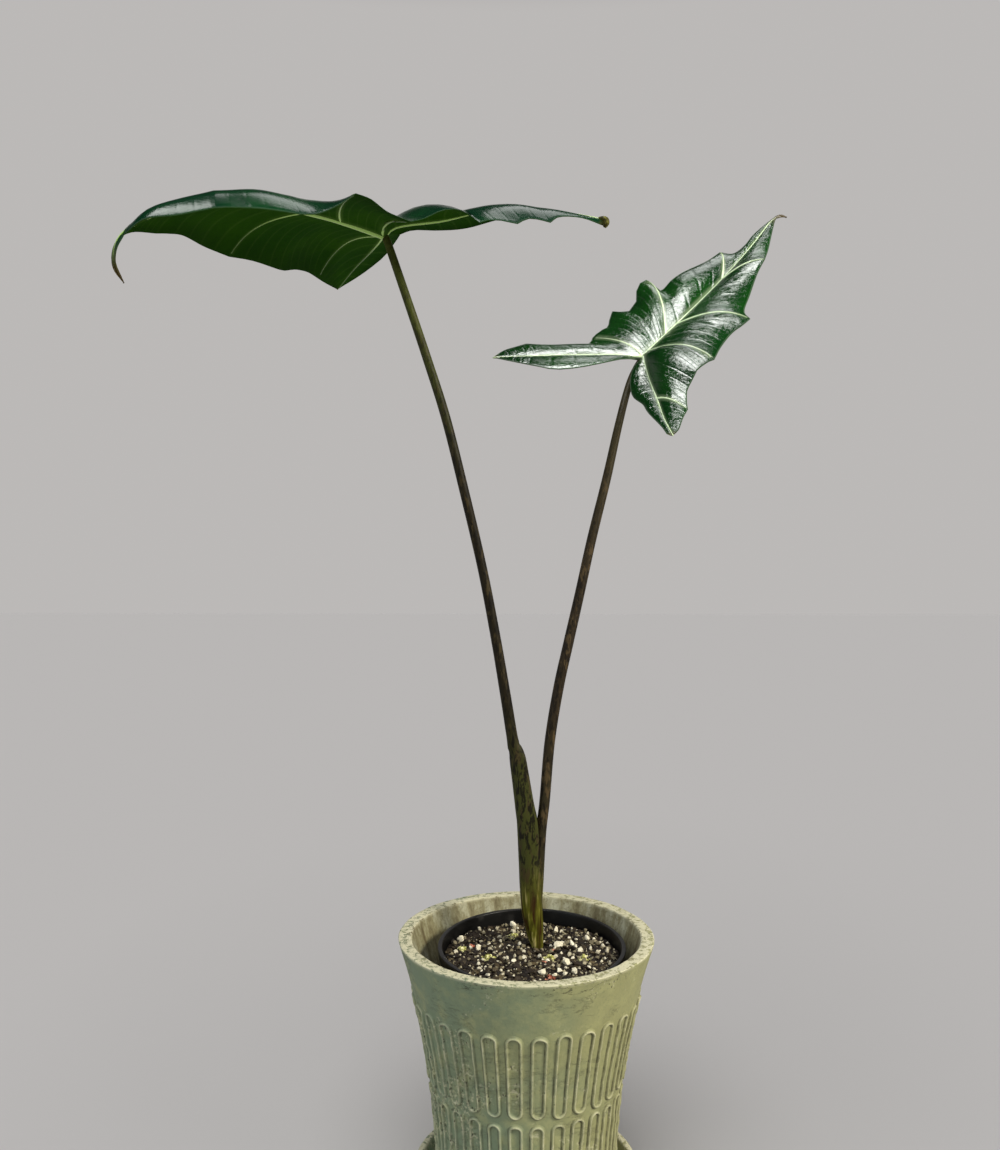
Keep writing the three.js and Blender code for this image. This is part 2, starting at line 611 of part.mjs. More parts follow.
function pointNormals(spots, faces) {
  const normals = spots.map(() => new THREE.Vector3());
  for (const [a, b, c] of faces) {
    const one = spots[b].clone().sub(spots[a]);
    const other = spots[c].clone().sub(spots[a]);
    one.cross(other);
    for (const k of [a, b, c]) normals[k].add(one);
  }
  return normals.map((normal) => normal.normalize());
}

// A leaf blade with its ribs standing out underneath, grown by an allowance all round
function makeLeaf(leaf, allowance = 0) {
  const sheet = { points: [], faces: [], known: new Map(), pucker: leaf.pucker };
  for (const [half, turnedOver] of [[leaf.left, true], [leaf.right, false]]) {
    const { rulings, ribRulings } = outerRuns(leaf, half);
    addSheet(sheet, rulings, -VEIN_BOW, turnedOver);
    const places = ribRulings.map(({ place }) => place);
    const edges = smoothRun([leaf.sinus, ...half.inner, half.rib.at(-1)], places);
    const inner = ribRulings.map(({ root }, i) => {
      const share = (places[i] * INNER_PUCKERS) % 1;
      return { root, edge: edges[i], arch: half.innerArch, share, straight: i === 0 };
    });
    addSheet(sheet, inner, INNER_BOW, !turnedOver);
  }
  const flat = sheet.points.map(({ spot }) => spot);
  const lift = pointNormals(flat, sheet.faces);
  const spots = sheet.points.map(({ spot, rise }, i) => spot.clone().addScaledVector(lift[i], rise));
  const normals = pointNormals(spots, sheet.faces);
  const count = spots.length;
  const top = spots.map((spot, i) => spot.clone().addScaledVector(normals[i], BLADE / 2 + allowance));
  const under = spots.map((spot, i) => (
    spot.clone().addScaledVector(normals[i], -(BLADE / 2 + sheet.points[i].rib + allowance))));
  const index = [];
  const open = new Map();
  for (const [a, b, c] of sheet.faces) {
    index.push(a, b, c, a + count, c + count, b + count);
    for (const [from, to] of [[a, b], [b, c], [c, a]]) {
      if (!open.delete(`${to},${from}`)) open.set(`${from},${to}`, [from, to]);
    }
  }
  for (const [from, to] of open.values()) {
    index.push(from, from + count, to + count, from, to + count, to);
  }
  return toSolid(geometryFrom([...top, ...under], index));
}

const part = new THREE.Group();

function addPiece(name, solid, look) {
  const mesh = new THREE.Mesh(toGeometry(solid), new THREE.MeshStandardMaterial(MATERIALS[look]));
  mesh.name = name;
  part.add(mesh);
}

// The stems stop short of the blades that they carry
const leftLeafRoom = makeLeaf(LEFT_LEAF, GAP).add(makeLeaf(LEFT_LEAF));
const rightLeafRoom = makeLeaf(RIGHT_LEAF, GAP).add(makeLeaf(RIGHT_LEAF));

addPiece('saucer', makeSaucer(), 'glaze');
addPiece('pot', makePot(), 'glaze');
addPiece('nursery_pot', makeNurseryPot(), 'nursery');
addPiece('soil', makeSoil(), 'soil');
addPiece('left_stem', makeStem(LEFT_STEM).subtract(makeStem(RIGHT_STEM, GAP)).subtract(leftLeafRoom), 'stem');
addPiece('right_stem', makeStem(RIGHT_STEM).subtract(rightLeafRoom), 'stem');
addPiece('left_leaf', makeLeaf(LEFT_LEAF), 'leaf');
addPiece('right_leaf', makeLeaf(RIGHT_LEAF), 'leaf');

export default part;
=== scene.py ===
import math
import random

import bmesh
import bpy
import numpy as np
from bpy.props import FloatProperty, FloatVectorProperty, IntProperty, PointerProperty
from mathutils import Euler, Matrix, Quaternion, Vector
from mathutils.noise import noise


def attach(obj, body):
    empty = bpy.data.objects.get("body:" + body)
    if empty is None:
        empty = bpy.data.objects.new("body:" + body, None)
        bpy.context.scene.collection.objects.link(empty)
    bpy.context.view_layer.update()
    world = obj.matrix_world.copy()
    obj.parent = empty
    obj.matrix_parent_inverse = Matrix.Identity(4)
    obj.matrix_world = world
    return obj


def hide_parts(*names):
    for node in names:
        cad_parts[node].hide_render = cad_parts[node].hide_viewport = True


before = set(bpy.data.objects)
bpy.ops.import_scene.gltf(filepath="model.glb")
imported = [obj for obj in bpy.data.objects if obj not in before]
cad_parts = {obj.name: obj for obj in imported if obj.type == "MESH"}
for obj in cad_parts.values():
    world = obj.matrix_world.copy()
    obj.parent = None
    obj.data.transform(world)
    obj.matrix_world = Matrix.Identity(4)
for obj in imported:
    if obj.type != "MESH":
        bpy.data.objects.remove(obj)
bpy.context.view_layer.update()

bl_info = {
    "name": "Potted arrow-leaved aroid",
    "version": (1, 0),
    "blender": (4, 5, 0),
    "location": "3D View > Sidebar > Aroid",
    "description": "Builds a two-leaved aroid in its ceramic pot around the solid model of it",
    "category": "Object",
}

# All sizes below are in millimetres, and the scene is in metres
MM = 0.001
BODY = "root"

# The camera that the photograph was taken with
PHOTO_HEIGHT = 1150
FOCAL_PIXELS = 1014.5
SENSOR = 36.0
CAMERA_AT = (0, -793.5, 500.4)
CAMERA_PITCH = 1.054
CAMERA_YAW = 1.471

# Saucer, pot and nursery pot, as in the solid model
SAUCER_RIM_R = 88
SAUCER_FOOT_R = 74
SAUCER_HEIGHT = 23
SAUCER_FLOOR = 6
SAUCER_WALL = 5
POT_FOOT_R = 69
POT_RIM_R = 100
POT_HEIGHT = 198
POT_FLOOR = 10
POT_FOOT_Z = SAUCER_FLOOR
POT_RIM_Z = POT_FOOT_Z + POT_HEIGHT
OVALS_ROUND = 30
FIRST_OVAL = math.radians(-90 + 6.4)
OVAL_HALF_ANGLE = math.radians(3.3)
OVAL_ROW_MIDDLES = (60, 130.5)
OVAL_HEIGHT = 64.5
NURSERY_X = 4.5
NURSERY_Z = POT_FOOT_Z + POT_FLOOR
NURSERY_TOP_Z = 195.5
NURSERY_BOTTOM_R = 52
NURSERY_TOP_R = 72
NURSERY_WALL = 1.5
NURSERY_FLOOR = 2
NURSERY_LIP = 2
NURSERY_LIP_DEPTH = 9
NURSERY_LEAN = 0.035
PLASTIC_EDGE = 30
DRAIN_HOLES = 8
DRAIN_SIDES = 24
DRAIN_R = 4
DRAIN_RING_R = 38
PLASTIC = (0.0015, 0.0015, 0.0015)
SOIL_Z = 186.5
SOIL_MOUND = 1.5
SOIL_BOTTOM_Z = NURSERY_Z + NURSERY_FLOOR
STEM = (9, 13)

# Grains: dark, middle and pale tint, roughness and how speckled they are
GRAIN_LOOKS = {
    "pale_grains": ((0.06, 0.048, 0.028), (0.26, 0.225, 0.14), (0.78, 0.73, 0.57), 0.8, 0.45),
    "bark_chips": ((0.005, 0.003, 0.002), (0.022, 0.014, 0.007), (0.1, 0.075, 0.035), 0.7, 0.4),
    "fine_grit": ((0.015, 0.011, 0.006), (0.075, 0.06, 0.033), (0.5, 0.45, 0.3), 0.8, 0.5),
    "pale_lumps": ((0.2, 0.2, 0.04), (0.45, 0.44, 0.14), (0.75, 0.72, 0.42), 0.8, 0.3),
    "red_bits": ((0.14, 0.03, 0.015), (0.35, 0.11, 0.06), (0.55, 0.25, 0.17), 0.8, 0.3),
}

# Fineness of the turned pieces
ROUND_SIDES = 216
PROFILE_STEP = 2.5

# Seeds of the random draws
RELIEF_SEED = 30
SOIL_SEED = 7

# Pale lumps, reddish bits and large white grains on the soil: place, then width
SOIL_LUMPS = (((-10, 34), 11), ((-29, -12), 12), ((18, -13), 14), ((45, -10), 11), ((-51, 6), 9))
RED_BITS = (((18, -48), 9), ((-44, 12), 6), ((14, -20), 6), ((22, 6), 5))
LARGE_GRAINS = (
    ((-11, 56), 6.5), ((26, 12), 8), ((37, 16), 6), ((31, -22), 7), ((25, 46), 6), ((43, 2), 5.5),
    ((-38, 5), 6.5), ((-9, -21), 6), ((50, 30), 6), ((12, -40), 6.5), ((-52, 24), 6), ((36, -38), 6),
)


def vein(edge, arch, bay, mid=None, rib=None, faint=False):
    """A side vein from a share of the midrib or side rib to an edge point, with the bay of edge after it."""
    return {"edge": edge, "arch": arch, "bay": bay, "mid": mid, "rib": rib, "faint": faint}


# The rolled end of the left leaf's near lobe: places along it and half its width there
ROLLED_END = (
    ((52, -60, 743), 0.8),
    ((55.5, -61, 742.2), 1.5),
    ((57.3, -61, 740.3), 2.3),
    ((57, -61, 738), 2.2),
    ((56, -60.5, 736), 1.1),
)

# The left and right halves are those of a leaf seen from its stalk towards its tip, glossy face up. The
# inner edge of a lobe runs from the sinus, where the lobes meet behind the stalk, to the lobe's end.
LEFT_LEAF = {
    "midrib": [(-107, -30, 741), (-128, -54, 742), (-146, -80, 740), (-176, -125, 733),
        (-208, -168, 717), (-225, -192, 702), (-235, -200, 692), (-240, -202, 684), (-241, -202, 673),
        (-238, -196, 662)],
    "sinus": (-97, -16, 746),
    "pucker": 0.02,
    "left": {
        "rib": [(-107, -30, 741), (-96, -34, 747), (-64, -42, 748), (-44, -46, 751), (-19, -50, 755),
            (10, -54, 752), (38, -58, 746), (54, -60, 742), (58, -61, 740), (56, -60, 737)],
        "veins": [
            vein(mid=1, edge=(-238, -196, 662), arch=0, bay=[(-240, -202, 669), (-239, -204, 679)]),
            vein(faint=True, mid=0.8, edge=(-235, -203, 688), arch=0.1, bay=[
                (-222, -206, 696), (-205, -198, 701)]),
            vein(faint=True, mid=0.56, edge=(-187, -186, 709), arch=0.19, bay=[
                (-179, -178, 712), (-162, -166, 715)]),
            vein(faint=True, mid=0.36, edge=(-143, -150, 717), arch=0.16, bay=[
                (-133, -142, 720), (-122, -136, 727)]),
            vein(mid=0.16, edge=(-111, -130, 737), arch=0, bay=[(-102, -125, 735), (-92, -114, 730)]),
            vein(rib=0, edge=(-78, -104, 727), arch=0.08, bay=[
                (-69, -101, 730), (-56, -97, 737), (-44, -92, 738)]),
            vein(faint=True, rib=0.36, edge=(-32, -88, 731), arch=0.13, bay=[
                (-26, -87, 733), (-16, -86, 733), (-6, -85, 731), (0, -80, 736), (8, -79, 736)]),
            vein(faint=True, rib=0.68, edge=(17, -78, 734), arch=0.12, bay=[(24, -72, 740), (40, -66, 741)]),
            vein(rib=1, edge=(56, -60, 737), arch=0, bay=[]),
        ],
        "inner": [(-87, -8, 752), (-67, -10, 751), (-45, -18, 750), (-12, -30, 754), (25, -45, 750),
            (51, -57, 743)],
        "inner_arch": 0.05,
    },
    "right": {
        "rib": [(-107, -30, 741), (-116, 0, 744), (-128, 30, 745), (-147, 70, 744), (-168, 110, 738)],
        "rib_kind": "buried_rib",
        "veins": [
            vein(mid=1, edge=(-238, -196, 662), arch=0, bay=[(-242, -202, 669), (-243, -200, 680)]),
            vein(faint=True, mid=0.8, edge=(-239, -198, 689), arch=0.05, bay=[(-234, -190, 694)]),
            vein(faint=True, mid=0.66, edge=(-230, -165, 701), arch=0.08, bay=[
                (-226, -155, 704), (-222, -138, 708), (-219, -105, 711)]),
            vein(mid=0.3, edge=(-211, -75, 713), arch=0.08, bay=[(-200, -50, 717), (-189, -12, 721)]),
            vein(faint=True, mid=0.16, edge=(-185, 2, 725), arch=0.08, bay=[
                (-182, 12, 728), (-178, 34, 732)]),
            vein(rib=0, edge=(-175, 60, 734), arch=0.08, bay=[(-173, 82, 736)]),
            vein(rib=1, edge=(-168, 110, 738), arch=0, bay=[]),
        ],
        "inner": [(-99, 2, 751), (-108, 28, 751), (-118, 48, 748), (-142, 84, 744)],
        "inner_arch": 0.05,
    },
}

RIGHT_LEAF = {
    "midrib": [(95, 40, 664), (122, 50, 690), (145, 61, 713), (167, 72, 736), (193, 86, 766),
        (209, 95, 787), (216, 98, 794), (221, 100, 797), (227, 103, 796)],
    "sinus": (93, 44, 661),
    "pucker": 0.03,
    "left": {
        "rib": [(95, 40, 664), (66, 46, 666), (29, 52, 667), (-13, 58, 667), (-28, 60, 667)],
        "veins": [
            vein(mid=1, edge=(227, 103, 796), arch=0, bay=[(223, 102, 798)]),
            vein(faint=True, mid=0.955, edge=(217, 99, 796), arch=0.05, bay=[
                (207, 97, 788), (196, 94, 778), (188, 90, 768), (178, 90, 761)]),
            vein(mid=0.52, edge=(168, 96, 764), arch=0.07, bay=[
                (155, 88, 754), (135, 84, 744), (124, 80, 736), (114, 80, 727)]),
            vein(mid=0.14, edge=(104, 94, 740), arch=0.07, bay=[
                (96, 92, 734), (94, 82, 718), (87, 78, 709)]),
            vein(faint=True, mid=0.07, edge=(74, 86, 711), arch=0.07, bay=[
                (71, 80, 702), (69, 74, 695), (62, 72, 691)]),
            vein(rib=0, edge=(56, 70, 685), arch=0.07, bay=[(53, 68, 680), (38, 66, 679), (18, 68, 679)]),
            vein(faint=True, rib=0.72, edge=(0, 72, 681), arch=0.1, bay=[(-9, 70, 678), (-19, 66, 674)]),
            vein(rib=1, edge=(-28, 60, 667), arch=0, bay=[]),
        ],
        "inner": [(79, 38, 661), (62, 34, 657), (42, 32, 653), (24, 34, 652), (11, 38, 655),
            (-10, 48, 661)],
        "inner_arch": 0.08,
    },
    "right": {
        "rib": [(95, 40, 664), (99, 26, 642), (103, 8, 623), (106, -10, 606), (110, -28, 591)],
        "veins": [
            vein(mid=1, edge=(227, 103, 796), arch=0, bay=[(222, 100, 795)]),
            vein(faint=True, mid=0.955, edge=(216, 98, 793), arch=0.04, bay=[(210, 86, 775), (205, 76, 760)]),
            vein(mid=0.52, edge=(199, 62, 748), arch=0.08, bay=[
                (192, 58, 735), (184, 50, 715), (177, 38, 699)]),
            vein(mid=0.21, edge=(180, 30, 691), arch=0.09, bay=[
                (173, 27, 685), (165, 26, 679), (155, 18, 667)]),
            vein(mid=0.03, edge=(147, 6, 654), arch=0.09, bay=[(140, 5, 651)]),
            vein(faint=True, rib=0, edge=(133, 2, 645), arch=0.09, bay=[
                (128, 1, 635), (125, 0, 629), (124, -5, 620)]),
            vein(rib=0.5, edge=(124, -10, 613), arch=0.08, bay=[(119, -18, 605), (115, -25, 596)]),
            vein(rib=1, edge=(110, -28, 591), arch=0, bay=[]),
        ],
        "inner": [(87, 38, 654), (84, 32, 641), (85, 22, 628), (92, 12, 620), (95, 2, 612),
            (103, -16, 599), (106, -26, 592)],
        "inner_arch": 0.1,
    },
}

# Stations of the stems: middle, half width and half depth
LEFT_STEM = (
    ((9, 13, 162.5), 3, 3),
    ((9, 13, 189.5), 4.6, 4.2),
    ((8.4, 13, 193), 5.7, 5),
    ((7, 13, 202), 7.2, 6),
    ((5, 12, 218), 8.5, 6.8),
    ((4, 12, 238), 9.1, 7.2),
    ((2, 11, 282), 9, 6.8),
    ((-1, 10, 303), 7.8, 6),
    ((-7, 9, 343), 6.7, 5),
    ((-10, 8, 352), 4.5, 4.4),
    ((-16, 4, 390), 4.2, 4.2),
    ((-24, 0, 438), 3.9, 3.9),
    ((-34, -5, 491), 3.7, 3.7),
    ((-47, -12, 548), 3.7, 3.7),
    ((-61, -18, 605), 3.6, 3.6),
    ((-75, -23, 650), 3.4, 3.4),
    ((-90, -27, 695), 3.2, 3.2),
    ((-104, -30, 736), 3, 3),
    ((-106.5, -30, 741), 2.6, 2.6),
)
RIGHT_STEM = (
    ((9, 12, 212), 3.2, 3.2),
    ((10, 12, 238), 4, 4),
    ((12, 13, 279), 4.2, 4.2),
    ((15, 14, 306), 4.2, 4.2),
    ((19, 16, 352), 4.2, 4.2),
    ((26, 18, 395), 4.2, 4.2),
    ((34, 20, 431), 4.1, 4.1),
    ((43, 23, 470), 3.9, 3.9),
    ((53, 26, 515), 3.8, 3.8),
    ((65, 30, 563), 3.6, 3.6),
    ((75, 34, 607), 3.2, 3.2),
    ((84, 42, 640), 2.9, 2.9),
    ((91, 45, 656), 2.8, 2.8),
    ((96, 42.5, 663.6), 2.4, 2.4),
)
STEM_SIDES = 36
STEM_STEP = 3.0

# Where the sheath opens towards the right stalk: foot, full depth, and the two heights of its top. Wings
# stand on both sides of the channel. Widths are angles round the stalk, and depths shares of its radius
SHEATH_CHANNEL = (262, 290, 340, 352)
CHANNEL_WIDTH = 0.34
CHANNEL_DEPTH = 0.6
WING_ANGLE = 0.7
WING_WIDTH = 0.3
WING_RISE = 0.2

# Stalks: colour at the sheath, along the stalk and at the leaf, and the leaf's height. The sheath's colour
# fades out above its top, and the streaked foot, whose palest streaks are a painted highlight, ends between
# two heights
STALK_LOOKS = {
    "left_stalk": ((0.034, 0.037, 0.007), (0.011, 0.008, 0.003), (0.06, 0.072, 0.012), 741),
    "right_stalk": ((0.02, 0.016, 0.006), (0.018, 0.012, 0.005), (0.034, 0.027, 0.009), 664),
}
SHEATH_TOP = 300
SHEATH_FADE = 90
STEM_FOOT = (212, 262)

# Rounding of the pot's foot and floor. Its wall follows the flare to this far from the foot and the rim
ROUND_FOOT = 2.5
ROUND_FLOOR = 5
WALL_END = 4

# Unevenness of the hand-made wall and of the crumbly soil: height, then size of a wave
WALL_WAVES = ((0.35, 24), (0.12, 6))
CRUMB_WAVES = ((1.3, 13), (0.7, 4))

# The pot's inner wall bends at these depths below the rim, and wear reaches this far down
INNER_DEPTHS = (8, 20, 40, 70, 110, 150)
POT_WEAR = 1.8
SAUCER_WEAR = 2.2
INSIDE_STEPS = 6

# Raised outlines on the pot. They differ a little in width, height and angle, and their crests wave. Their
# side that faces right and up, towards the warm lamp, gets paler worn crests and cleaner grooves: real wear
# and dirt, spread as painted highlight on the lit side and painted shade on the other
OVAL_WIDTHS = (0.95, 1.04)
OVAL_HEIGHTS = (-0.8, 0.5)
OVAL_ANGLES = (-0.003, 0.003)
CREST_WAVE = 0.4
CREST_WAVE_SIZE = 6
LIT_SIDE = (0.75, 0.66)
LIT_GROOVE_CLEANER = 0.75
SHADED_CREST_WEAR = 0.4

# Steps along each side and end of an outline, and the section across it as shares of its half width and
# height, with how dirty and how worn it is there
OVAL_SIDE_STEPS = 22
OVAL_END_STEPS = 12
BEAD_SECTION = (
    (-1.9, -0.35, 0, 0),
    (-1.5, 0.05, 0.35, 0),
    (-1.15, 0.12, 1, 0),
    (-0.8, 0.5, 0.5, 0.1),
    (-0.4, 0.9, 0, 0.8),
    (0, 1, 0, 1),
    (0.4, 0.9, 0, 0.8),
    (0.8, 0.5, 0.5, 0.1),
    (1.15, 0.12, 1, 0),
    (1.5, 0.05, 0.35, 0),
    (1.9, -0.35, 0, 0),
)

# Soil bed and grains. A grain is dented, then cut flat at shares of its radius, and a flat one lies
# tilted. The large grains lie a share of their width above the bed
SOIL_R = 69.0
BED_SIDES = 144
BED_RINGS = 60
BED_CENTRE = 0.0004
BED_GAP = 0.3
STEM_CLEAR = 8.5
GOLDEN_TURN = math.pi * (3 - math.sqrt(5))
OFF_SPOT = 1.2
DENTS = 0.1
CUT_AT = (0.35, 0.8)
NARROWEST = 0.65
FLAT = 0.5
TILT = 0.35
LARGE_SIZE = 1.7
LARGE_LIFT = 0.3
CRISP_EDGE = 25

# How far each kind of grain stays from the bed's edge, and the heaps: how steep and how widely strewn they
# are, and how many grains each has
PALE_EDGE = 2.5
CHIP_EDGE = 3
GRIT_EDGE = 1.5
HEAP_SLOPE = 0.28
HEAP_SPREAD = 5
LUMP_GRAINS = 44
RED_GRAINS = 12

# Leaf blades
VEIN_BOW = 0.09
INNER_BOW = 0.054
PUCKER_CREST = 0.8
INNER_PUCKERS = 3
MIDRIB_STEP = 0.013
RIB_STEPS = 12
SOFTEN = 2
VEIN_END = 0.965
BLADE_EDGE = 0.4
EDGE_TAPER = 2.5
MARGIN_WIDTH = 1.4
TIP_REACH = 45
LOBE_END_REACH = 9
FILLET_REACH = 2.2
RIB_RISE = 0.3
RIB_DROP = 0.95
SHORT_STEP = 0.05
RIB_SIDES = 10
NEAR_BATCH = 2000

# Shares of a ruling from rib to edge where the blade has points, closer together near both
ACROSS = np.array([
    0, 0.007, 0.015, 0.025, 0.04, 0.06, 0.085, 0.115, 0.15, 0.19, 0.235, 0.285, 0.34, 0.395, 0.45,
    0.505, 0.56, 0.615, 0.67, 0.72, 0.77, 0.815, 0.855, 0.89, 0.92, 0.945, 0.965, 0.982, 0.993, 1,
])

# Kinds of rib: the setting that gives its width, the share of it at the root, half the width at the end,
# how fast it thins, and how far its colour has faded by its end
RIB_KINDS = {
    "midrib": ("midrib", 1, 0.5, 0.7, 0.45),
    "side_rib": ("midrib", 0.6, 0.45, 0.7, 0.45),
    "vein": ("side_vein", 1, 0.4, 0.9, 1),
    "buried_rib": ("side_vein", 1, 0.3, 0.7, 1.6),
}

# How each leaf shines: roughness, share of shine and of a clear coat, strength of its ripples, the two
# shares of their run between which ribs fade, and how much of their colour they keep at the end
LEAF_LOOKS = {
    "left_leaf": {
        "rough": 0.15, "shine": 0.1, "coat": 0.0, "ripples": 0.3, "fade": (0.3, 0.8), "kept": 0.08},
    "right_leaf": {
        "rough": 0.1, "shine": 0.37, "coat": 0.15, "ripples": 1.0, "fade": (0.5, 1.0), "kept": 0.45},
}

# Smooth runs, rounded corners and the smallest length that counts
RUN_STEPS = 24
CORNER_STEPS = 6
TINY = 1e-6

# Floor and lights in metres: name, place, aim, size, colour and whether dull surfaces see the light
FLOOR_REACH = 8
SKY_STOPS = ((0.47, (1.0, 0.97, 0.95)), (0.66, (0.05, 0.05, 0.055)))
LAMPS = (
    ("overhead", (-0.16, -0.54, 1.95), (0, 0, 0.6), (0.76, 0.6), (1.0, 1.0, 0.98), False),
    ("behind", (0.2, 0.55, 2.3), (0, 0, 0.6), (0.6, 0.6), (1.0, 1.0, 1.0), False),
    ("left", (-1.7, -1.3, 0.9), (0, 0, 0.35), (1.2, 1.6), (0.82, 0.94, 1.0), True),
    ("right", (1.3, -0.8, 1.15), (0, 0, 0.15), (0.4, 0.4), (1.0, 0.94, 0.8), True),
)
SUN_FROM = (-0.1, -0.45, 0.9)
SUN_SPREAD = math.radians(60)

# What every setting of a colour has in common
COLOUR = {"subtype": "COLOR", "size": 3, "min": 0, "max": 1}


class PotSettings(bpy.types.PropertyGroup):
    """Sizes in millimetres and colours of the ceramic pot and its saucer."""

    wall: FloatProperty(
        name="Wall", description="Thickness of the wall at the rim", default=10.2, min=3, max=20)
    bead_half: FloatProperty(
        name="Bead half width", description="Half the width of the raised outlines",
        default=1.25, min=0.5, max=4)
    bead_rise: FloatProperty(
        name="Bead height", description="How far the outlines stand out", default=1.8, min=0.2, max=3)
    # Left half of the pot: glaze tone, made darker and cooler as painted shade
    sage: FloatVectorProperty(
        name="Sage", description="Cooler green of the glaze",
        default=(0.15, 0.195, 0.12), **COLOUR)
    # Right half of the pot: glaze tone, made warmer as painted light from the warm lamp
    olive: FloatVectorProperty(
        name="Olive", description="Warmer green of the glaze",
        default=(0.25, 0.25, 0.115), **COLOUR)
    # Also paints a highlight: the crests are paler on their lit side
    cream: FloatVectorProperty(
        name="Cream", description="Worn rim and worn crests",
        default=(0.5, 0.48, 0.33), **COLOUR)
    # Dark wash: real dirt in the hollows and cracks, and painted shade on the shaded side of the raised
    # outlines
    dirt_and_shade: FloatVectorProperty(
        name="Dirt", description="Dark wash in the hollows",
        default=(0.035, 0.03, 0.015), **COLOUR)


class SoilSettings(bpy.types.PropertyGroup):
    """Grains that lie on the soil."""

    grains: IntProperty(name="Grains", description="Number of pale grains", default=620, min=0, max=3000)
    chips: IntProperty(
        name="Chips", description="Number of dark chips of bark", default=1300, min=0, max=4000)
    grit: IntProperty(name="Grit", description="Number of fine grey grains", default=1800, min=0, max=4000)


class LeafSettings(bpy.types.PropertyGroup):
    """Sizes in millimetres and colours of the leaves."""

    blade: FloatProperty(name="Blade", description="Thickness of a leaf blade", default=0.8, min=0.3, max=2)
    midrib: FloatProperty(
        name="Midrib", description="Half the midrib's width at the stalk", default=2.9, min=1, max=5)
    side_vein: FloatProperty(
        name="Side veins", description="Half a side vein's width at its root", default=1.25, min=0.3, max=3)
    glossy: FloatVectorProperty(
        name="Right glossy face", description="Colour of the right leaf's upper face",
        default=(0.002, 0.027, 0.003), **COLOUR)
    teal: FloatVectorProperty(
        name="Left glossy face", description="Colour of the left leaf's upper face",
        default=(0.0015, 0.02, 0.0075), **COLOUR)
    under: FloatVectorProperty(
        name="Underside", description="Colour of the lower face",
        default=(0.0112, 0.054, 0.0012), **COLOUR)
    veins: FloatVectorProperty(
        name="Veins", description="Colour of the right leaf's ribs and veins",
        default=(0.58, 0.73, 0.44), **COLOUR)
    under_veins: FloatVectorProperty(
        name="Left veins", description="Colour of the left leaf's ribs and veins",
        default=(0.42, 0.66, 0.15), **COLOUR)


class StageSettings(bpy.types.PropertyGroup):
    """Lights and floor."""

    top_power: FloatProperty(
        name="Top light", description="Power of the light overhead",
        default=42, min=0, max=500, unit="POWER")
    back_power: FloatProperty(
        name="Back light", description="Power of the light high up behind",
        default=6, min=0, max=500, unit="POWER")
    left_power: FloatProperty(
        name="Left light", description="Power of the cool light on the left",
        default=9, min=0, max=500, unit="POWER")
    right_power: FloatProperty(
        name="Right light", description="Power of the warm light on the right",
        default=36, min=0, max=500, unit="POWER")
    sun: FloatProperty(
        name="Soft light", description="Strength of the even light from above", default=2.05, min=0, max=5)
    sky: FloatProperty(
        name="Sky", description="Strength of the light from all round", default=0.5, min=0, max=3)
    floor: FloatVectorProperty(
        name="Floor", description="Colour of the floor",
        default=(0.64, 0.625, 0.615), **COLOUR)


def set_stops(ramp, stops):
    while len(ramp.elements) < len(stops):
        ramp.elements.new(1)
    for element, (place, colour) in zip(ramp.elements, stops):
        element.position = place
        element.color = (*colour[:3], 1)


class Wire:
    """The output of a shader node, which adds Math nodes when it is used in sums and products."""

    def __init__(self, paint, socket):
        self.paint = paint
        self.socket = socket

    def math(self, operation, *values):
        return self.paint.node("ShaderNodeMath", {"operation": operation}, dict(enumerate(values)))

    def __add__(self, other):
        return self.math("ADD", self, other)

    __radd__ = __add__

    def __sub__(self, other):
        return self.math("SUBTRACT", self, other)

    def __rsub__(self, other):
        return self.math("SUBTRACT", other, self)

    def __mul__(self, other):
        return self.math("MULTIPLY", self, other)

    __rmul__ = __mul__


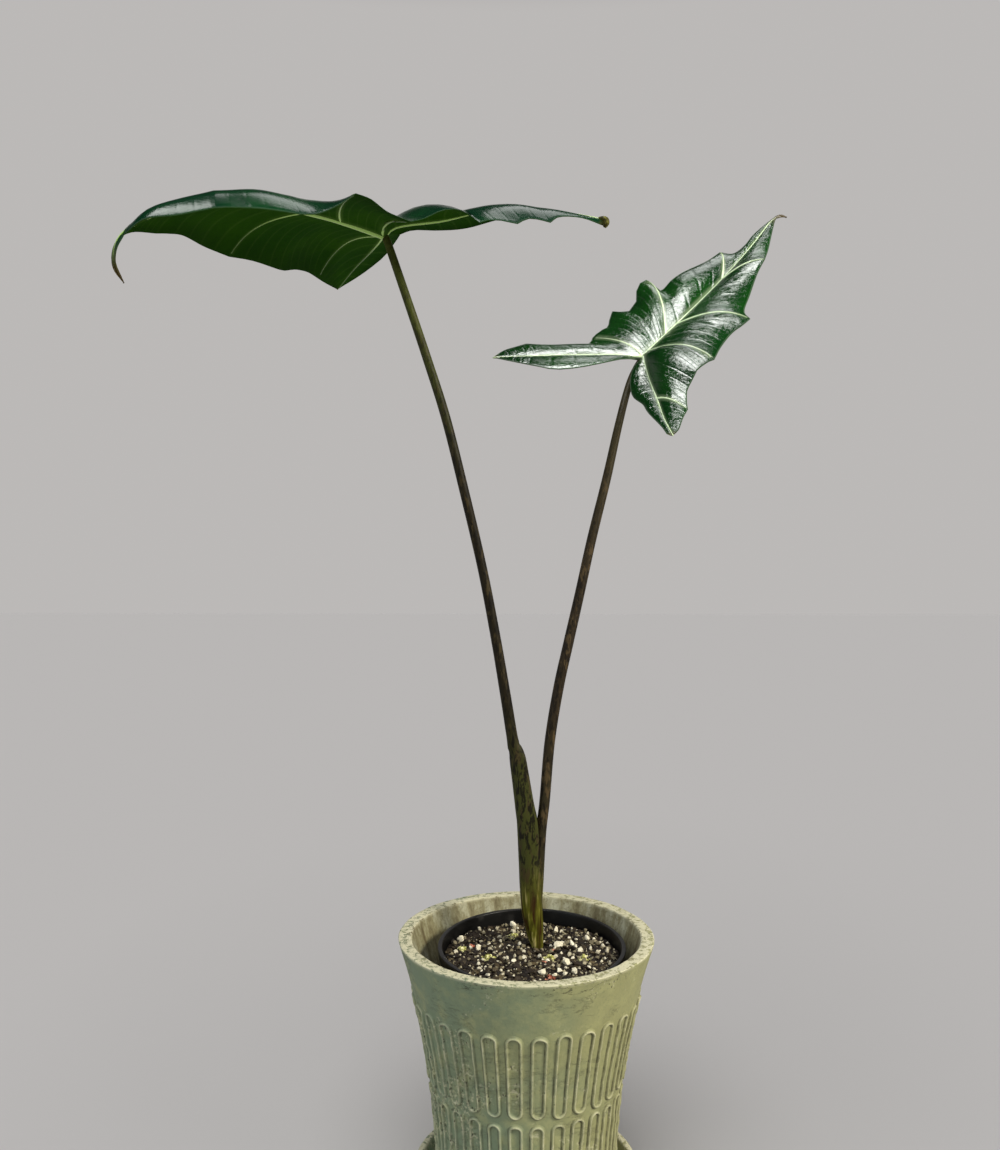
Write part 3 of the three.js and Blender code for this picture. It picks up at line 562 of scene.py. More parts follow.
class Paint:
    """A new material, or a new world, and the means to add nodes to it."""

    def __init__(self, name, is_world=False):
        self.owner = (bpy.data.worlds if is_world else bpy.data.materials).new(name)
        self.owner.use_nodes = True
        self.tree = self.owner.node_tree
        self.tree.nodes.clear()

    def node(self, kind, settings=None, inputs=None, out=0):
        """One node: its settings are made first, then its sockets are set or linked."""
        node = self.tree.nodes.new(kind)
        for key, value in (settings or {}).items():
            if key == "stops":
                set_stops(node.color_ramp, value)
            else:
                setattr(node, key, value)
        for key, value in (inputs or {}).items():
            socket = node.inputs[key]
            if isinstance(value, Wire):
                self.tree.links.new(value.socket, socket)
            elif socket.type == "RGBA":
                socket.default_value = (*value[:3], 1)
            else:
                socket.default_value = value
        return Wire(self, node.outputs[out])

    def place(self, scale=(1, 1, 1)):
        """The place on the object in metres, with each axis multiplied by its scale."""
        here = self.node("ShaderNodeTexCoord", out=3)
        return self.node("ShaderNodeVectorMath", {"operation": "MULTIPLY"}, {0: here, 1: scale})

    def along(self, where, axis):
        """One coordinate of a place: axis 0 is across, and axis 2 is up."""
        return self.node("ShaderNodeSeparateXYZ", None, {0: where}, out=axis)

    def mark(self, name):
        """A number that the mesh carries at each of its points."""
        return self.node("ShaderNodeAttribute", {"attribute_name": name}, out=2)

    def noise(self, where, scale, detail=2.0, rough=0.5, distortion=0.0):
        """Cloudy noise from 0 to 1, with as many waves to the metre as its scale."""
        inputs = {"Vector": where, "Scale": scale, "Detail": detail, "Roughness": rough,
                  "Distortion": distortion}
        return self.node("ShaderNodeTexNoise", None, inputs)

    def cells(self, where, scale):
        """Distance to the nearest of many scattered spots, as a share of the space between them."""
        return self.node("ShaderNodeTexVoronoi", None, {"Vector": where, "Scale": scale})

    def step(self, value, low, high):
        """0 below low and 1 above high, with a smooth rise between."""
        inputs = {"Value": value, "From Min": low, "From Max": high}
        return self.node("ShaderNodeMapRange", {"interpolation_type": "SMOOTHSTEP"}, inputs)

    def mix(self, factor, one, other):
        """One colour changing to the other as the factor goes from 0 to 1."""
        return self.node("ShaderNodeMix", {"data_type": "RGBA"}, {0: factor, 6: one, 7: other}, out=2)

    def cover(self, under, over, mask, low, high, strength=1.0):
        """One colour over another where the mask rises from low to high, at most at a strength."""
        share = self.step(mask, low, high)
        return self.mix(share if strength == 1.0 else share * strength, under, over)

    def ramp(self, value, *stops):
        """A colour for each value, between stops of a value and its colour."""
        return self.node("ShaderNodeValToRGB", {"stops": stops}, {0: value})

    def bump(self, height, distance, strength=1.0, normal=None):
        """A surface raised by a height from 0 to 1 times a distance in millimetres."""
        inputs = {"Height": height, "Distance": distance * MM, "Strength": strength}
        if normal is not None:
            inputs["Normal"] = normal
        return self.node("ShaderNodeBump", None, inputs)

    def finish(self, **inputs):
        """The surface, with plain words for the sockets, such as base_color or coat_weight."""
        named = {key.replace("_", " ").title().replace("Ior", "IOR"): value for key, value in inputs.items()}
        return self.close("ShaderNodeOutputMaterial", self.node("ShaderNodeBsdfPrincipled", None, named))

    def close(self, kind, surface):
        """Links the surface to the output, and gives back the finished material or world."""
        output = self.tree.nodes.new(kind)
        self.tree.links.new(surface.socket, output.inputs["Surface"])
        return self.owner


def shade(colour, share):
    """A colour made darker or paler by a share."""
    return [min(1, share * part) for part in colour]


def blend(one, other, share):
    return [lerp(a, b, share) for a, b in zip(one, other)]


def lerp(one, other, share):
    return one + (other - one) * share


def smooth_run(knots, shares):
    """Points at shares of the length of a smooth run through the knots."""
    knots = np.asarray(knots, float)
    ends = np.vstack([2 * knots[0] - knots[1], knots, 2 * knots[-1] - knots[-2]])
    s = np.linspace(0, 1, RUN_STEPS, endpoint=False)[:, None]
    spans = []
    for a, b, c, d in zip(ends, ends[1:], ends[2:], ends[3:]):
        straight = 2 * b + (c - a) * s
        curved = (2 * a - 5 * b + 4 * c - d) * s ** 2 + (3 * b - a - 3 * c + d) * s ** 3
        spans.append((straight + curved) / 2)
    dense = np.vstack([*spans, knots[-1:]])
    length = lengths_along(dense)
    at = np.clip(shares, 0, 1) * length[-1]
    return np.stack([np.interp(at, length, dense[:, k]) for k in range(3)], axis=-1)


def unit(vectors):
    return vectors / np.maximum(np.linalg.norm(vectors, axis=-1, keepdims=True), TINY)


def lengths_along(line):
    """Length of a line of points from its start to each of them."""
    return np.concatenate([[0], np.cumsum(np.linalg.norm(np.diff(line, axis=0), axis=1))])


def noise_at(points, size):
    """Smooth noise from about -1 to 1 at each point, with features of a size in millimetres."""
    flat = np.asarray(points, float).reshape(-1, 3) / size
    return np.array([noise(Vector(p)) for p in flat]).reshape(np.shape(points)[:-1])


def uneven_by(points, waves):
    """Height of an uneven surface at each point, as a sum of waves of a height and a size."""
    return sum(height * noise_at(points, size) for height, size in waves)


def grid_faces(rows, columns, round_columns=False, turned_over=False):
    """Four-sided faces over a grid of points."""
    faces = []
    for i in range(rows - 1):
        for j in range(columns if round_columns else columns - 1):
            a = i * columns + j
            b = i * columns + (j + 1) % columns
            face = (a, b, b + columns, a + columns)
            faces.append(face[::-1] if turned_over else face)
    return faces


def tube_faces(rows, sides):
    """Faces of a tube of rings, whose ends are closed onto two points that follow the rings."""
    faces = grid_faces(rows, sides, round_columns=True)
    first = rows * sides
    last_row = (rows - 1) * sides
    for k in range(sides):
        after = (k + 1) % sides
        faces.append((first, after, k))
        faces.append((first + 1, last_row + k, last_row + after))
    return faces


class Shape:
    """The points and faces of one piece, with marks: numbers that the points carry."""

    def __init__(self, *marks):
        self.points = []
        self.faces = []
        self.slots = []
        self.marks = {name: [] for name in marks}
        self.count = 0

    def add(self, points, faces, slot=0, **marks):
        """More points and faces, with their material's number and a value or values for each mark."""
        points = np.asarray(points, float).reshape(-1, 3)
        self.points.append(points)
        self.faces += [[self.count + k for k in face] for face in faces]
        self.slots += [slot] * len(faces)
        for name, values in self.marks.items():
            values.append(np.broadcast_to(np.ravel(marks.get(name, 0.0)), len(points)))
        self.count += len(points)

    def build(self, name, materials, record_slot, replaced=(), sharp=180.0):
        """The piece as an object that rides with the model. Edges sharper than an angle stay crisp."""
        mesh = bpy.data.meshes.new(name)
        mesh.from_pydata((np.vstack(self.points) * MM).tolist(), [], self.faces)
        for material in materials:
            mesh.materials.append(material)
        mesh.polygons.foreach_set("material_index", self.slots)
        mesh.polygons.foreach_set("use_smooth", [True] * len(self.faces))
        for mark, values in self.marks.items():
            layer = mesh.attributes.new(mark, "FLOAT", "POINT")
            layer.data.foreach_set("value", np.concatenate(values))
        for corner in mesh.vertices:
            corner.co.z = max(corner.co.z, 0)  # nothing reaches below the floor
        mesh.update()
        if sharp < 180:
            mesh.set_sharp_from_angle(angle=math.radians(sharp))
        piece = bpy.data.objects.new(name, mesh)
        bpy.context.scene.collection.objects.link(piece)
        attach(piece, BODY)
        if replaced:
            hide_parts(*replaced)
        return piece


def rounded(corners):
    """A profile through corners of radius, height and rounding, with its long stretches divided."""
    points = [np.array(corners[0][:2], float)]
    for before, corner, after in zip(corners, corners[1:], corners[2:]):
        here = np.array(corner[:2], float)
        back = np.array(before[:2], float) - here
        ahead = np.array(after[:2], float) - here
        reach = min(corner[2], np.linalg.norm(back) * 0.49, np.linalg.norm(ahead) * 0.49)
        start = here + unit(back) * reach
        end = here + unit(ahead) * reach
        for s in np.linspace(0, 1, CORNER_STEPS + 1) if reach > 0 else (0.5,):
            points.append(lerp(lerp(start, here, s), lerp(here, end, s), s))
    points.append(np.array(corners[-1][:2], float))
    profile = [points[0]]
    for one, other in zip(points, points[1:]):
        steps = max(1, math.ceil(np.linalg.norm(other - one) / PROFILE_STEP))
        profile += [lerp(one, other, k / steps) for k in range(1, steps + 1)]
    return np.array(profile)


def turn(shape, profile, x=0.0, uneven=None, **marks):
    """Adds a profile, which starts and ends on the axis, turned about an upright axis at x."""
    sides = ROUND_SIDES
    angles = np.linspace(0, 2 * math.pi, sides, endpoint=False)
    rows = profile[1:-1]
    ring = np.stack([np.cos(angles), np.sin(angles)], axis=-1)
    points = np.empty((len(rows), sides, 3))
    points[..., :2] = rows[:, None, :1] * ring[None]
    points[..., 2] = rows[:, None, 1]
    if uneven is not None:
        along = unit(np.gradient(rows, axis=0))
        out = np.empty_like(points)
        out[..., :2] = along[:, None, 1:] * ring[None]
        out[..., 2] = -along[:, :1]
        points += out * uneven(points)[..., None]
    points[..., 0] += x
    faces = tube_faces(len(rows), sides)
    poles = [(x, 0, profile[0][1]), (x, 0, profile[-1][1])]
    spread = {}
    for name, value in marks.items():
        value = np.broadcast_to(value, len(profile))
        spread[name] = np.concatenate([np.repeat(value[1:-1], sides), value[[0, -1]]])
    shape.add(np.vstack([points.reshape(-1, 3), poles]), faces, **spread)


def sweep(shape, line, across, up, widths, rises, drops, sides, form=1.0, slot=0, **marks):
    """Adds a closed round bar along a line, with its own width, rise and drop at each station."""
    turns = np.linspace(0, 2 * math.pi, sides, endpoint=False)
    sine = np.sin(turns)
    sideways = across[:, None] * (form * widths[:, None] * np.cos(turns))[..., None]
    heights = form * np.where(sine > 0, rises[:, None] * sine, drops[:, None] * sine)
    points = line[:, None] + sideways + up[:, None] * heights[..., None]
    faces = tube_faces(len(line), sides)
    spread = {}
    for name, value in marks.items():
        value = np.broadcast_to(value, len(line))
        spread[name] = np.concatenate([np.repeat(value, sides), value[[0, -1]]])
    shape.add(np.vstack([points.reshape(-1, 3), line[[0, -1]]]), faces, slot, **spread)


def pot_radius(z):
    """The pot's outer radius, which flares more and more towards the rim."""
    rise = (z - POT_FOOT_Z) / POT_HEIGHT
    return POT_FOOT_R + (POT_RIM_R - POT_FOOT_R) * rise * rise


def on_wall(angle, z, lift):
    """Points that stand out from the pot's outer wall by a lift."""
    r = pot_radius(z)
    slope = 2 * (POT_RIM_R - POT_FOOT_R) * (z - POT_FOOT_Z) / POT_HEIGHT ** 2
    base = np.stack([r * np.cos(angle), r * np.sin(angle), z], axis=-1)
    out = unit(np.stack([np.cos(angle), np.sin(angle), -slope], axis=-1))
    return base + out * (lift + uneven_by(base, WALL_WAVES))[..., None]


def oval_line(angle, middle, chance):
    """Angles and heights along one outline, up its right side and down its left one."""
    half_angle = OVAL_HALF_ANGLE * chance.uniform(*OVAL_WIDTHS)
    half = OVAL_HEIGHT / 2 + chance.uniform(*OVAL_HEIGHTS)
    arc = half_angle * pot_radius(middle)
    swing = []
    height = []
    for up in (1, -1):
        straight = np.linspace(-up * (half - arc), up * (half - arc), OVAL_SIDE_STEPS, endpoint=False)
        swing += [up * half_angle] * OVAL_SIDE_STEPS
        height += list(middle + straight)
        for k in range(OVAL_END_STEPS):
            bend = math.pi * k / OVAL_END_STEPS
            swing.append(up * math.cos(bend) * half_angle)
            height.append(middle + up * (half - arc + arc * math.sin(bend)))
    return angle + np.array(swing), np.array(height)


def add_oval(shape, settings, angle, middle, chance):
    """One raised outline of the pot's relief, with a narrow skirt of the wall on both sides of it."""
    swing, height = oval_line(angle, middle, chance)
    sideways = (np.roll(swing, -1) - np.roll(swing, 1)) * pot_radius(height)
    upward = np.roll(height, -1) - np.roll(height, 1)
    length = np.hypot(sideways, upward)
    section, lifts, grooves, crests = np.array(BEAD_SECTION, float).T
    offsets = section * settings.bead_half
    lifts = lifts * settings.bead_rise
    turned = swing[:, None] + (upward / length / pot_radius(height))[:, None] * offsets
    z = height[:, None] - (sideways / length)[:, None] * offsets
    vary = 1 + CREST_WAVE * noise_at(on_wall(swing, height, 0.0), CREST_WAVE_SIZE)[:, None]
    points = on_wall(turned, z, lifts[None] * np.where(lifts > 0, vary, 1))
    rows = len(swing)
    columns = len(offsets)
    faces = []
    for a, b, c, d in grid_faces(rows + 1, columns):
        faces.append(tuple(k % (rows * columns) for k in (a, b, c, d)))
    # How much each side of a bead faces right and up, towards the light: grooves stay dark on the shaded side
    # as painted shade, and crests are paler on the lit side as painted highlight
    facing = (LIT_SIDE[0] * upward - LIT_SIDE[1] * sideways) / length
    worn = 0.5 + 0.5 * facing[:, None] * np.sign(offsets)
    groove = grooves * (1 - LIT_GROOVE_CLEANER * worn)
    crest = crests * lerp(SHADED_CREST_WEAR, 1, worn)
    shape.add(points, faces, groove=groove.ravel(), crest=crest.ravel())


def glaze_material(settings):
    """Sage glaze that fades to olive, pitted and stained, worn to cream on the rim and the crests. The
    darker, cooler sage on the left and warmer olive on the right are partly glaze tone and partly painted
    shade and light, and the crests' lit side and the grooves' shaded side carry painted highlight and painted
    shade.
    """
    paint = Paint("worn_sage_glaze")
    here = paint.place()
    inside, rim = paint.mark("inside"), paint.mark("rim")
    across, height = paint.along(here, 0), paint.along(here, 2)
    broad = paint.noise(here, 14, 3, 0.6)
    mottle = paint.noise(here, 70, 5, 0.65)
    fine = paint.noise(here, 420, 4, 0.6)
    # Sage on the left half and olive on the right half: glaze tone, with painted shade on the left and
    # painted warm light on the right
    colour = paint.cover(settings.sage, settings.olive, across + 0.16 * (broad - 0.5), -0.06, 0.07)
    colour = paint.cover(colour, shade(settings.olive, 1.32), mottle, 0.42, 0.75, 0.55)
    colour = paint.cover(colour, shade(settings.sage, 0.6), fine, 0.5, 0.75, 0.3)
    wear = paint.step(paint.noise(here, 90, 5, 0.7), 0.46, 0.66)
    # Worn crests in cream, stronger on the side that faces the light as a painted highlight
    colour = paint.mix(paint.mark("crest") * (0.35 + 0.5 * wear), colour, settings.cream)
    cracks = thin_cracks(paint, here) * (1 - rim) * (1 - inside)
    under_rim = paint.step(height, (POT_RIM_Z - 16) * MM, (POT_RIM_Z - 5) * MM)
    colour = paint.mix(cracks * (0.25 + 0.6 * under_rim), colour, settings.dirt_and_shade)
    wash = paint.step(paint.noise(here, 160, 4, 0.7), 0.4, 0.62)
    # Dark wash beside the raised outlines, kept on their shaded side as painted shade
    colour = paint.mix(paint.mark("groove") * (0.5 + 0.5 * wash), colour, settings.dirt_and_shade)
    pitted = where_pitted(paint, here, across, height)
    flakes = paint.step(paint.noise(here, 300, 4, 0.7), 0.52, 0.6)
    colour = paint.mix(flakes * pitted * 0.5, colour, settings.cream)
    pits = (1 - paint.step(paint.cells(paint.place((1.2, 1.2, 0.7)), 330), 0.1, 0.32)) * pitted
    colour = paint.mix(pits * 0.85, colour, settings.dirt_and_shade)
    colour = paint.mix(inside, colour, limescale(paint, fine))
    worn = rim * paint.step(paint.noise(here, 210, 5, 0.75), 0.42, 0.5)
    colour = paint.mix(worn, colour, settings.cream)
    grain = paint.noise(here, 900, 3, 0.6)
    relief = 0.5 * mottle + 0.35 * fine + 0.25 * grain - 0.8 * pits - 0.5 * (rim - worn) - 0.4 * cracks
    return paint.finish(base_color=colour, roughness=0.55 + 0.25 * mottle, specular_ior_level=0.35,
                        normal=paint.bump(relief, 0.55, 0.8))


def thin_cracks(paint, here):
    """Thin level cracks and scratches, here and there: 1 in them and 0 elsewhere."""
    winding = paint.noise(paint.place((1, 1, 3.2)), 46, 5, 0.7)
    off_line = paint.node("ShaderNodeMath", {"operation": "ABSOLUTE"}, {0: winding - 0.5})
    return (1 - paint.step(off_line, 0.005, 0.02)) * paint.step(paint.noise(here, 31, 2), 0.47, 0.56)


def where_pitted(paint, here, across, height):
    """Patches where the glaze is pitted, with more of them on the left side below the plain band."""
    left_side = 1 - paint.step(across, -0.08, 0.0)
    below_band = 1 - paint.step(height, 0.155, 0.172)
    return paint.step(paint.noise(here, 34, 5, 0.75) + 0.13 * left_side * below_band, 0.56, 0.64)


def limescale(paint, fine):
    """Brown stains and pale lime that run down the inside of the pot."""
    runs = paint.noise(paint.place((1, 1, 0.25)), 90, 5, 0.7)
    stain = paint.ramp(runs, (0.34, (0.09, 0.07, 0.03)), (0.5, (0.2, 0.185, 0.1)), (0.66, (0.34, 0.34, 0.24)))
    return paint.cover(stain, (0.1, 0.08, 0.035), fine, 0.5, 0.66, 0.5)


class AROID_OT_pot(bpy.types.Operator):
    """Make the flared ceramic pot with its two rows of raised ovals"""

    bl_idname = "aroid.make_pot"
    bl_label = "Ceramic pot"

    def execute(self, context):
        settings = context.scene.aroid_pot
        chance = random.Random(RELIEF_SEED)
        shape = Shape("inside", "rim", "groove", "crest")
        inner = POT_RIM_R - settings.wall
        heights = np.arange(POT_FOOT_Z + WALL_END, POT_RIM_Z - WALL_END, PROFILE_STEP)
        outer = [(pot_radius(z), z, 0.0) for z in heights]
        down = [POT_RIM_Z - depth for depth in INNER_DEPTHS]
        within = [(pot_radius(z) - settings.wall, z, WALL_END) for z in down]
        profile = rounded([
            (0, POT_FOOT_Z, 0),
            (POT_FOOT_R, POT_FOOT_Z, ROUND_FOOT),
            *outer,
            (POT_RIM_R, POT_RIM_Z, 1.0),
            (inner, POT_RIM_Z, 1.4),
            *within,
            (pot_radius(NURSERY_Z) - settings.wall, NURSERY_Z, ROUND_FLOOR),
            (0, NURSERY_Z, 0),
        ])
        top = int(np.argmax(profile[:, 1]))
        order = np.arange(len(profile))
        inside = np.clip((order - top) / INSIDE_STEPS, 0, 1)
        near_rim = np.clip(1 - (POT_RIM_Z - profile[:, 1]) / POT_WEAR, 0, 1)
        turn(shape, profile, uneven=lambda points: uneven_by(points, WALL_WAVES), inside=inside, rim=near_rim)
        for middle in OVAL_ROW_MIDDLES:
            for k in range(OVALS_ROUND):
                angle = FIRST_OVAL + k * 2 * math.pi / OVALS_ROUND + chance.uniform(*OVAL_ANGLES)
                add_oval(shape, settings, angle, middle, chance)
        shape.build("ceramic_pot", [glaze_material(settings)], "glaze", ["pot"])
        return {"FINISHED"}


class AROID_OT_saucer(bpy.types.Operator):
    """Make the saucer under the pot"""

    bl_idname = "aroid.make_saucer"
    bl_label = "Saucer"

    def execute(self, context):
        shape = Shape("inside", "rim", "groove", "crest")
        inner = SAUCER_RIM_R - SAUCER_WALL
        profile = rounded([
            (0, 0, 0),
            (SAUCER_FOOT_R, 0, 1),
            (SAUCER_FOOT_R + 4, 8, 4),
            (SAUCER_RIM_R, SAUCER_HEIGHT - 1, 2),
            (SAUCER_RIM_R - 1, SAUCER_HEIGHT, 1),
            (inner, SAUCER_HEIGHT, 1.5),
            (SAUCER_FOOT_R, SAUCER_FLOOR + 1, 4),
            (SAUCER_FOOT_R - 3, SAUCER_FLOOR, 2),
            (0, SAUCER_FLOOR, 0),
        ])
        near_rim = np.clip(1 - (SAUCER_HEIGHT - profile[:, 1]) / SAUCER_WEAR, 0, 1)
        turn(shape, profile, uneven=lambda points: 0.5 * uneven_by(points, WALL_WAVES), rim=near_rim)
        shape.build("ceramic_saucer", [bpy.data.materials["worn_sage_glaze"]], "glaze", ["saucer"])
        return {"FINISHED"}


def nursery_radius(z):
    """The nursery pot's outer radius below its lip."""
    rise = (z - NURSERY_Z) / (NURSERY_TOP_Z - NURSERY_Z)
    return NURSERY_BOTTOM_R + (NURSERY_TOP_R - NURSERY_BOTTOM_R) * rise


def nursery_material():
    """Thin black moulded plastic with a dull shine and dust on it."""
    paint = Paint("black_plastic")
    here = paint.place()
    dust = paint.step(paint.noise(here, 60, 5, 0.7), 0.5, 0.75)
    colour = paint.mix(dust * 0.3, PLASTIC, (0.014, 0.012, 0.009))
    specks = 1 - paint.step(paint.cells(here, 130), 0.03, 0.09)
    colour = paint.mix(specks * dust, colour, (0.4, 0.38, 0.34))
    fine = paint.noise(here, 700, 2)
    return paint.finish(base_color=colour, roughness=0.35 + 0.3 * dust, normal=paint.bump(fine, 0.06, 0.4),
                        specular_ior_level=0.3)


class AROID_OT_nursery_pot(bpy.types.Operator):
    """Make the black nursery pot that stands inside the ceramic one"""

    bl_idname = "aroid.make_nursery_pot"
    bl_label = "Nursery pot"

    def execute(self, context):
        shape = Shape()
        lip = NURSERY_TOP_Z - NURSERY_LIP_DEPTH
        floor = NURSERY_Z + NURSERY_FLOOR
        profile = rounded([
            (0, NURSERY_Z, 0),
            (NURSERY_BOTTOM_R, NURSERY_Z, 2),
            (nursery_radius(lip), lip, 0.8),
            (nursery_radius(lip) + NURSERY_LIP, lip + 0.6, 0.6),
            (NURSERY_TOP_R + NURSERY_LIP, NURSERY_TOP_Z, 0.9),
            (NURSERY_TOP_R - NURSERY_WALL, NURSERY_TOP_Z, 0.8),
            (nursery_radius(lip) - NURSERY_WALL, lip, 0.8),
            (nursery_radius(floor) - NURSERY_WALL, floor, 2),
            (0, floor, 0),
        ])
        turn(shape, profile, x=NURSERY_X)
        points = shape.points[0]
        rise = (points[:, 2] - NURSERY_Z) / (NURSERY_TOP_Z - NURSERY_Z)
        points[:, 2] += NURSERY_LEAN * points[:, 1] * rise
        piece = shape.build("nursery_pot_fine", [nursery_material()], "nursery_plastic", ["nursery_pot"],
                            sharp=PLASTIC_EDGE)
        holes = Shape()
        for k in range(DRAIN_HOLES):
            angle = 2 * math.pi * k / DRAIN_HOLES
            centre = np.array([NURSERY_X + DRAIN_RING_R * math.cos(angle), DRAIN_RING_R * math.sin(angle), 0])
            line = centre + np.array([[0, 0, NURSERY_Z - NURSERY_FLOOR], [0, 0, floor + NURSERY_FLOOR]])
            same = np.full(2, float(DRAIN_R))
            across, up = (np.tile(way, (2, 1)) for way in ((1.0, 0, 0), (0, 1.0, 0)))
            sweep(holes, line, across, up, same, same, same, DRAIN_SIDES)
        cut_away(piece, holes)
        return {"FINISHED"}


def cut_away(piece, holes):
    """Cuts closed shapes out of a piece."""
    mesh = bpy.data.meshes.new("cutters")
    mesh.from_pydata((np.vstack(holes.points) * MM).tolist(), [], holes.faces)
    cutter = bpy.data.objects.new("cutters", mesh)
    bpy.context.scene.collection.objects.link(cutter)
    modifier = piece.modifiers.new("holes", "BOOLEAN")
    modifier.operation = "DIFFERENCE"
    modifier.object = cutter
    whole = bpy.context.evaluated_depsgraph_get()
    made = bpy.data.meshes.new_from_object(piece.evaluated_get(whole))
    piece.modifiers.clear()
    piece.data = made
    bpy.data.objects.remove(cutter)


def soil_height(x, y):
    """Height of the crumbly bed under the grains."""
    flat = np.stack([x, y, np.zeros_like(x)], axis=-1)
    out = np.hypot(x - NURSERY_X, y) / SOIL_R
    return SOIL_Z + SOIL_MOUND * (1 - out ** 2) + uneven_by(flat, CRUMB_WAVES)


def ball(level):
    """Points and faces of a ball made of triangles."""
    made = bmesh.new()
    bmesh.ops.create_icosphere(made, subdivisions=level, radius=1)
    made.verts.index_update()
    points = np.array([corner.co[:] for corner in made.verts])
    faces = [[corner.index for corner in face.verts] for face in made.faces]
    made.free()
    return points, faces


def add_grain(shape, form, draw, place, size, flatness, cuts, tint):
    """A broken grain: a ball with flat cuts, squashed, turned at random and set down at a place."""
    points, faces = form
    points = points * (1 + draw.uniform(-DENTS, DENTS, (len(points), 1)))
    for _ in range(cuts):
        side = unit(draw.normal(size=3))
        over = points @ side - draw.uniform(*CUT_AT)
        points = points - np.maximum(over, 0)[:, None] * side
    points = points * size * np.array([1, draw.uniform(NARROWEST, 1), flatness])
    spin = np.array(Quaternion(draw.normal(size=4)).normalized().to_matrix())
    if flatness < FLAT:
        tilt = Euler((draw.normal() * TILT, draw.normal() * TILT, draw.uniform(0, 2 * math.pi)))
        spin = np.array(tilt.to_matrix())
    shape.add(points @ spin.T + place, faces, tint=tint)


def pale_grain(draw):
    """Size of an angular white grain, its height above the bed, flatness, cuts and tint."""
    size = 0.9 + 2.0 * draw.beta(1.2, 2.2)
    lift = size * draw.uniform(0.2, 0.8)
    return size, lift, 0.8, 6, draw.beta(1.1, 1.1)


def bark_chip(draw):
    """The same of a flat dark chip of bark."""
    size = draw.uniform(1.4, 4.2)
    lift = draw.uniform(0, 1.0)
    return size, lift, draw.uniform(0.22, 0.45), 2, draw.beta(1.3, 2.6)


def grit_grain(draw):
    """The same of a fine grey grain."""
    size = draw.uniform(0.4, 1.05)
    lift = size * draw.uniform(0.2, 1.2)
    return size, lift, 0.8, 2, draw.uniform(0, 1)


def strew(draw, forms, kind, count, edge):
    """A shape of many grains of a kind that lie on the bed, up to a distance from its edge."""
    small, large = forms
    shape = Shape("tint")
    x, y = scatter(draw, count, edge)
    for here, z in zip(np.stack([x, y], axis=-1), soil_height(x, y)):
        size, lift, flatness, cuts, tint = kind(draw)
        form = large if kind is pale_grain and size > LARGE_SIZE else small
        add_grain(shape, form, draw, np.array([*here, z + lift]), size, flatness, cuts, tint)
    return shape


def scatter(draw, count, edge):
    """Places spread evenly over the soil, each a little off its spot and clear of the stem."""
    order = np.arange(count)
    radius = (SOIL_R - edge) * np.sqrt((order + 0.5) / count)
    angle = order * GOLDEN_TURN + draw.uniform(0, 2 * math.pi)
    x = NURSERY_X + radius * np.cos(angle) + draw.normal(0, OFF_SPOT, count)
    y = radius * np.sin(angle) + draw.normal(0, OFF_SPOT, count)
    off = np.hypot(x - NURSERY_X, y)
    pull = np.minimum(1, (SOIL_R - edge) / np.maximum(off, TINY))
    x = NURSERY_X + (x - NURSERY_X) * pull
    y = y * pull
    clear = np.hypot(x - STEM[0], y - STEM[1]) > STEM_CLEAR
    return x[clear], y[clear]


def soil_material():
    """Damp crumbly mix, nearly black with brown in it."""
    paint = Paint("damp_mix")
    here = paint.place()
    crumbs = paint.noise(here, 380, 6, 0.75)
    colour = paint.ramp(crumbs, (0.35, (0.003, 0.002, 0.001)), (0.58, (0.012, 0.008, 0.005)),
                        (0.74, (0.05, 0.036, 0.02)))
    return paint.finish(base_color=colour, roughness=0.8, normal=paint.bump(crumbs, 1.5),
                        specular_ior_level=0.1)


def grain_material(name):
    """Broken grains, each with its own tint between dark and pale, speckled with dust."""
    dark, middle, pale, rough, speckle = GRAIN_LOOKS[name]
    paint = Paint(name)
    specks = paint.noise(paint.place(), 700, 4, 0.7)
    colour = paint.ramp(paint.mark("tint"), (0, dark), (0.5, middle), (1, pale))
    colour = paint.cover(colour, shade(middle, 0.35), specks, 0.48, 0.7, speckle)
    return paint.finish(base_color=colour, roughness=rough, normal=paint.bump(specks, 0.3),
                        specular_ior_level=0.2)


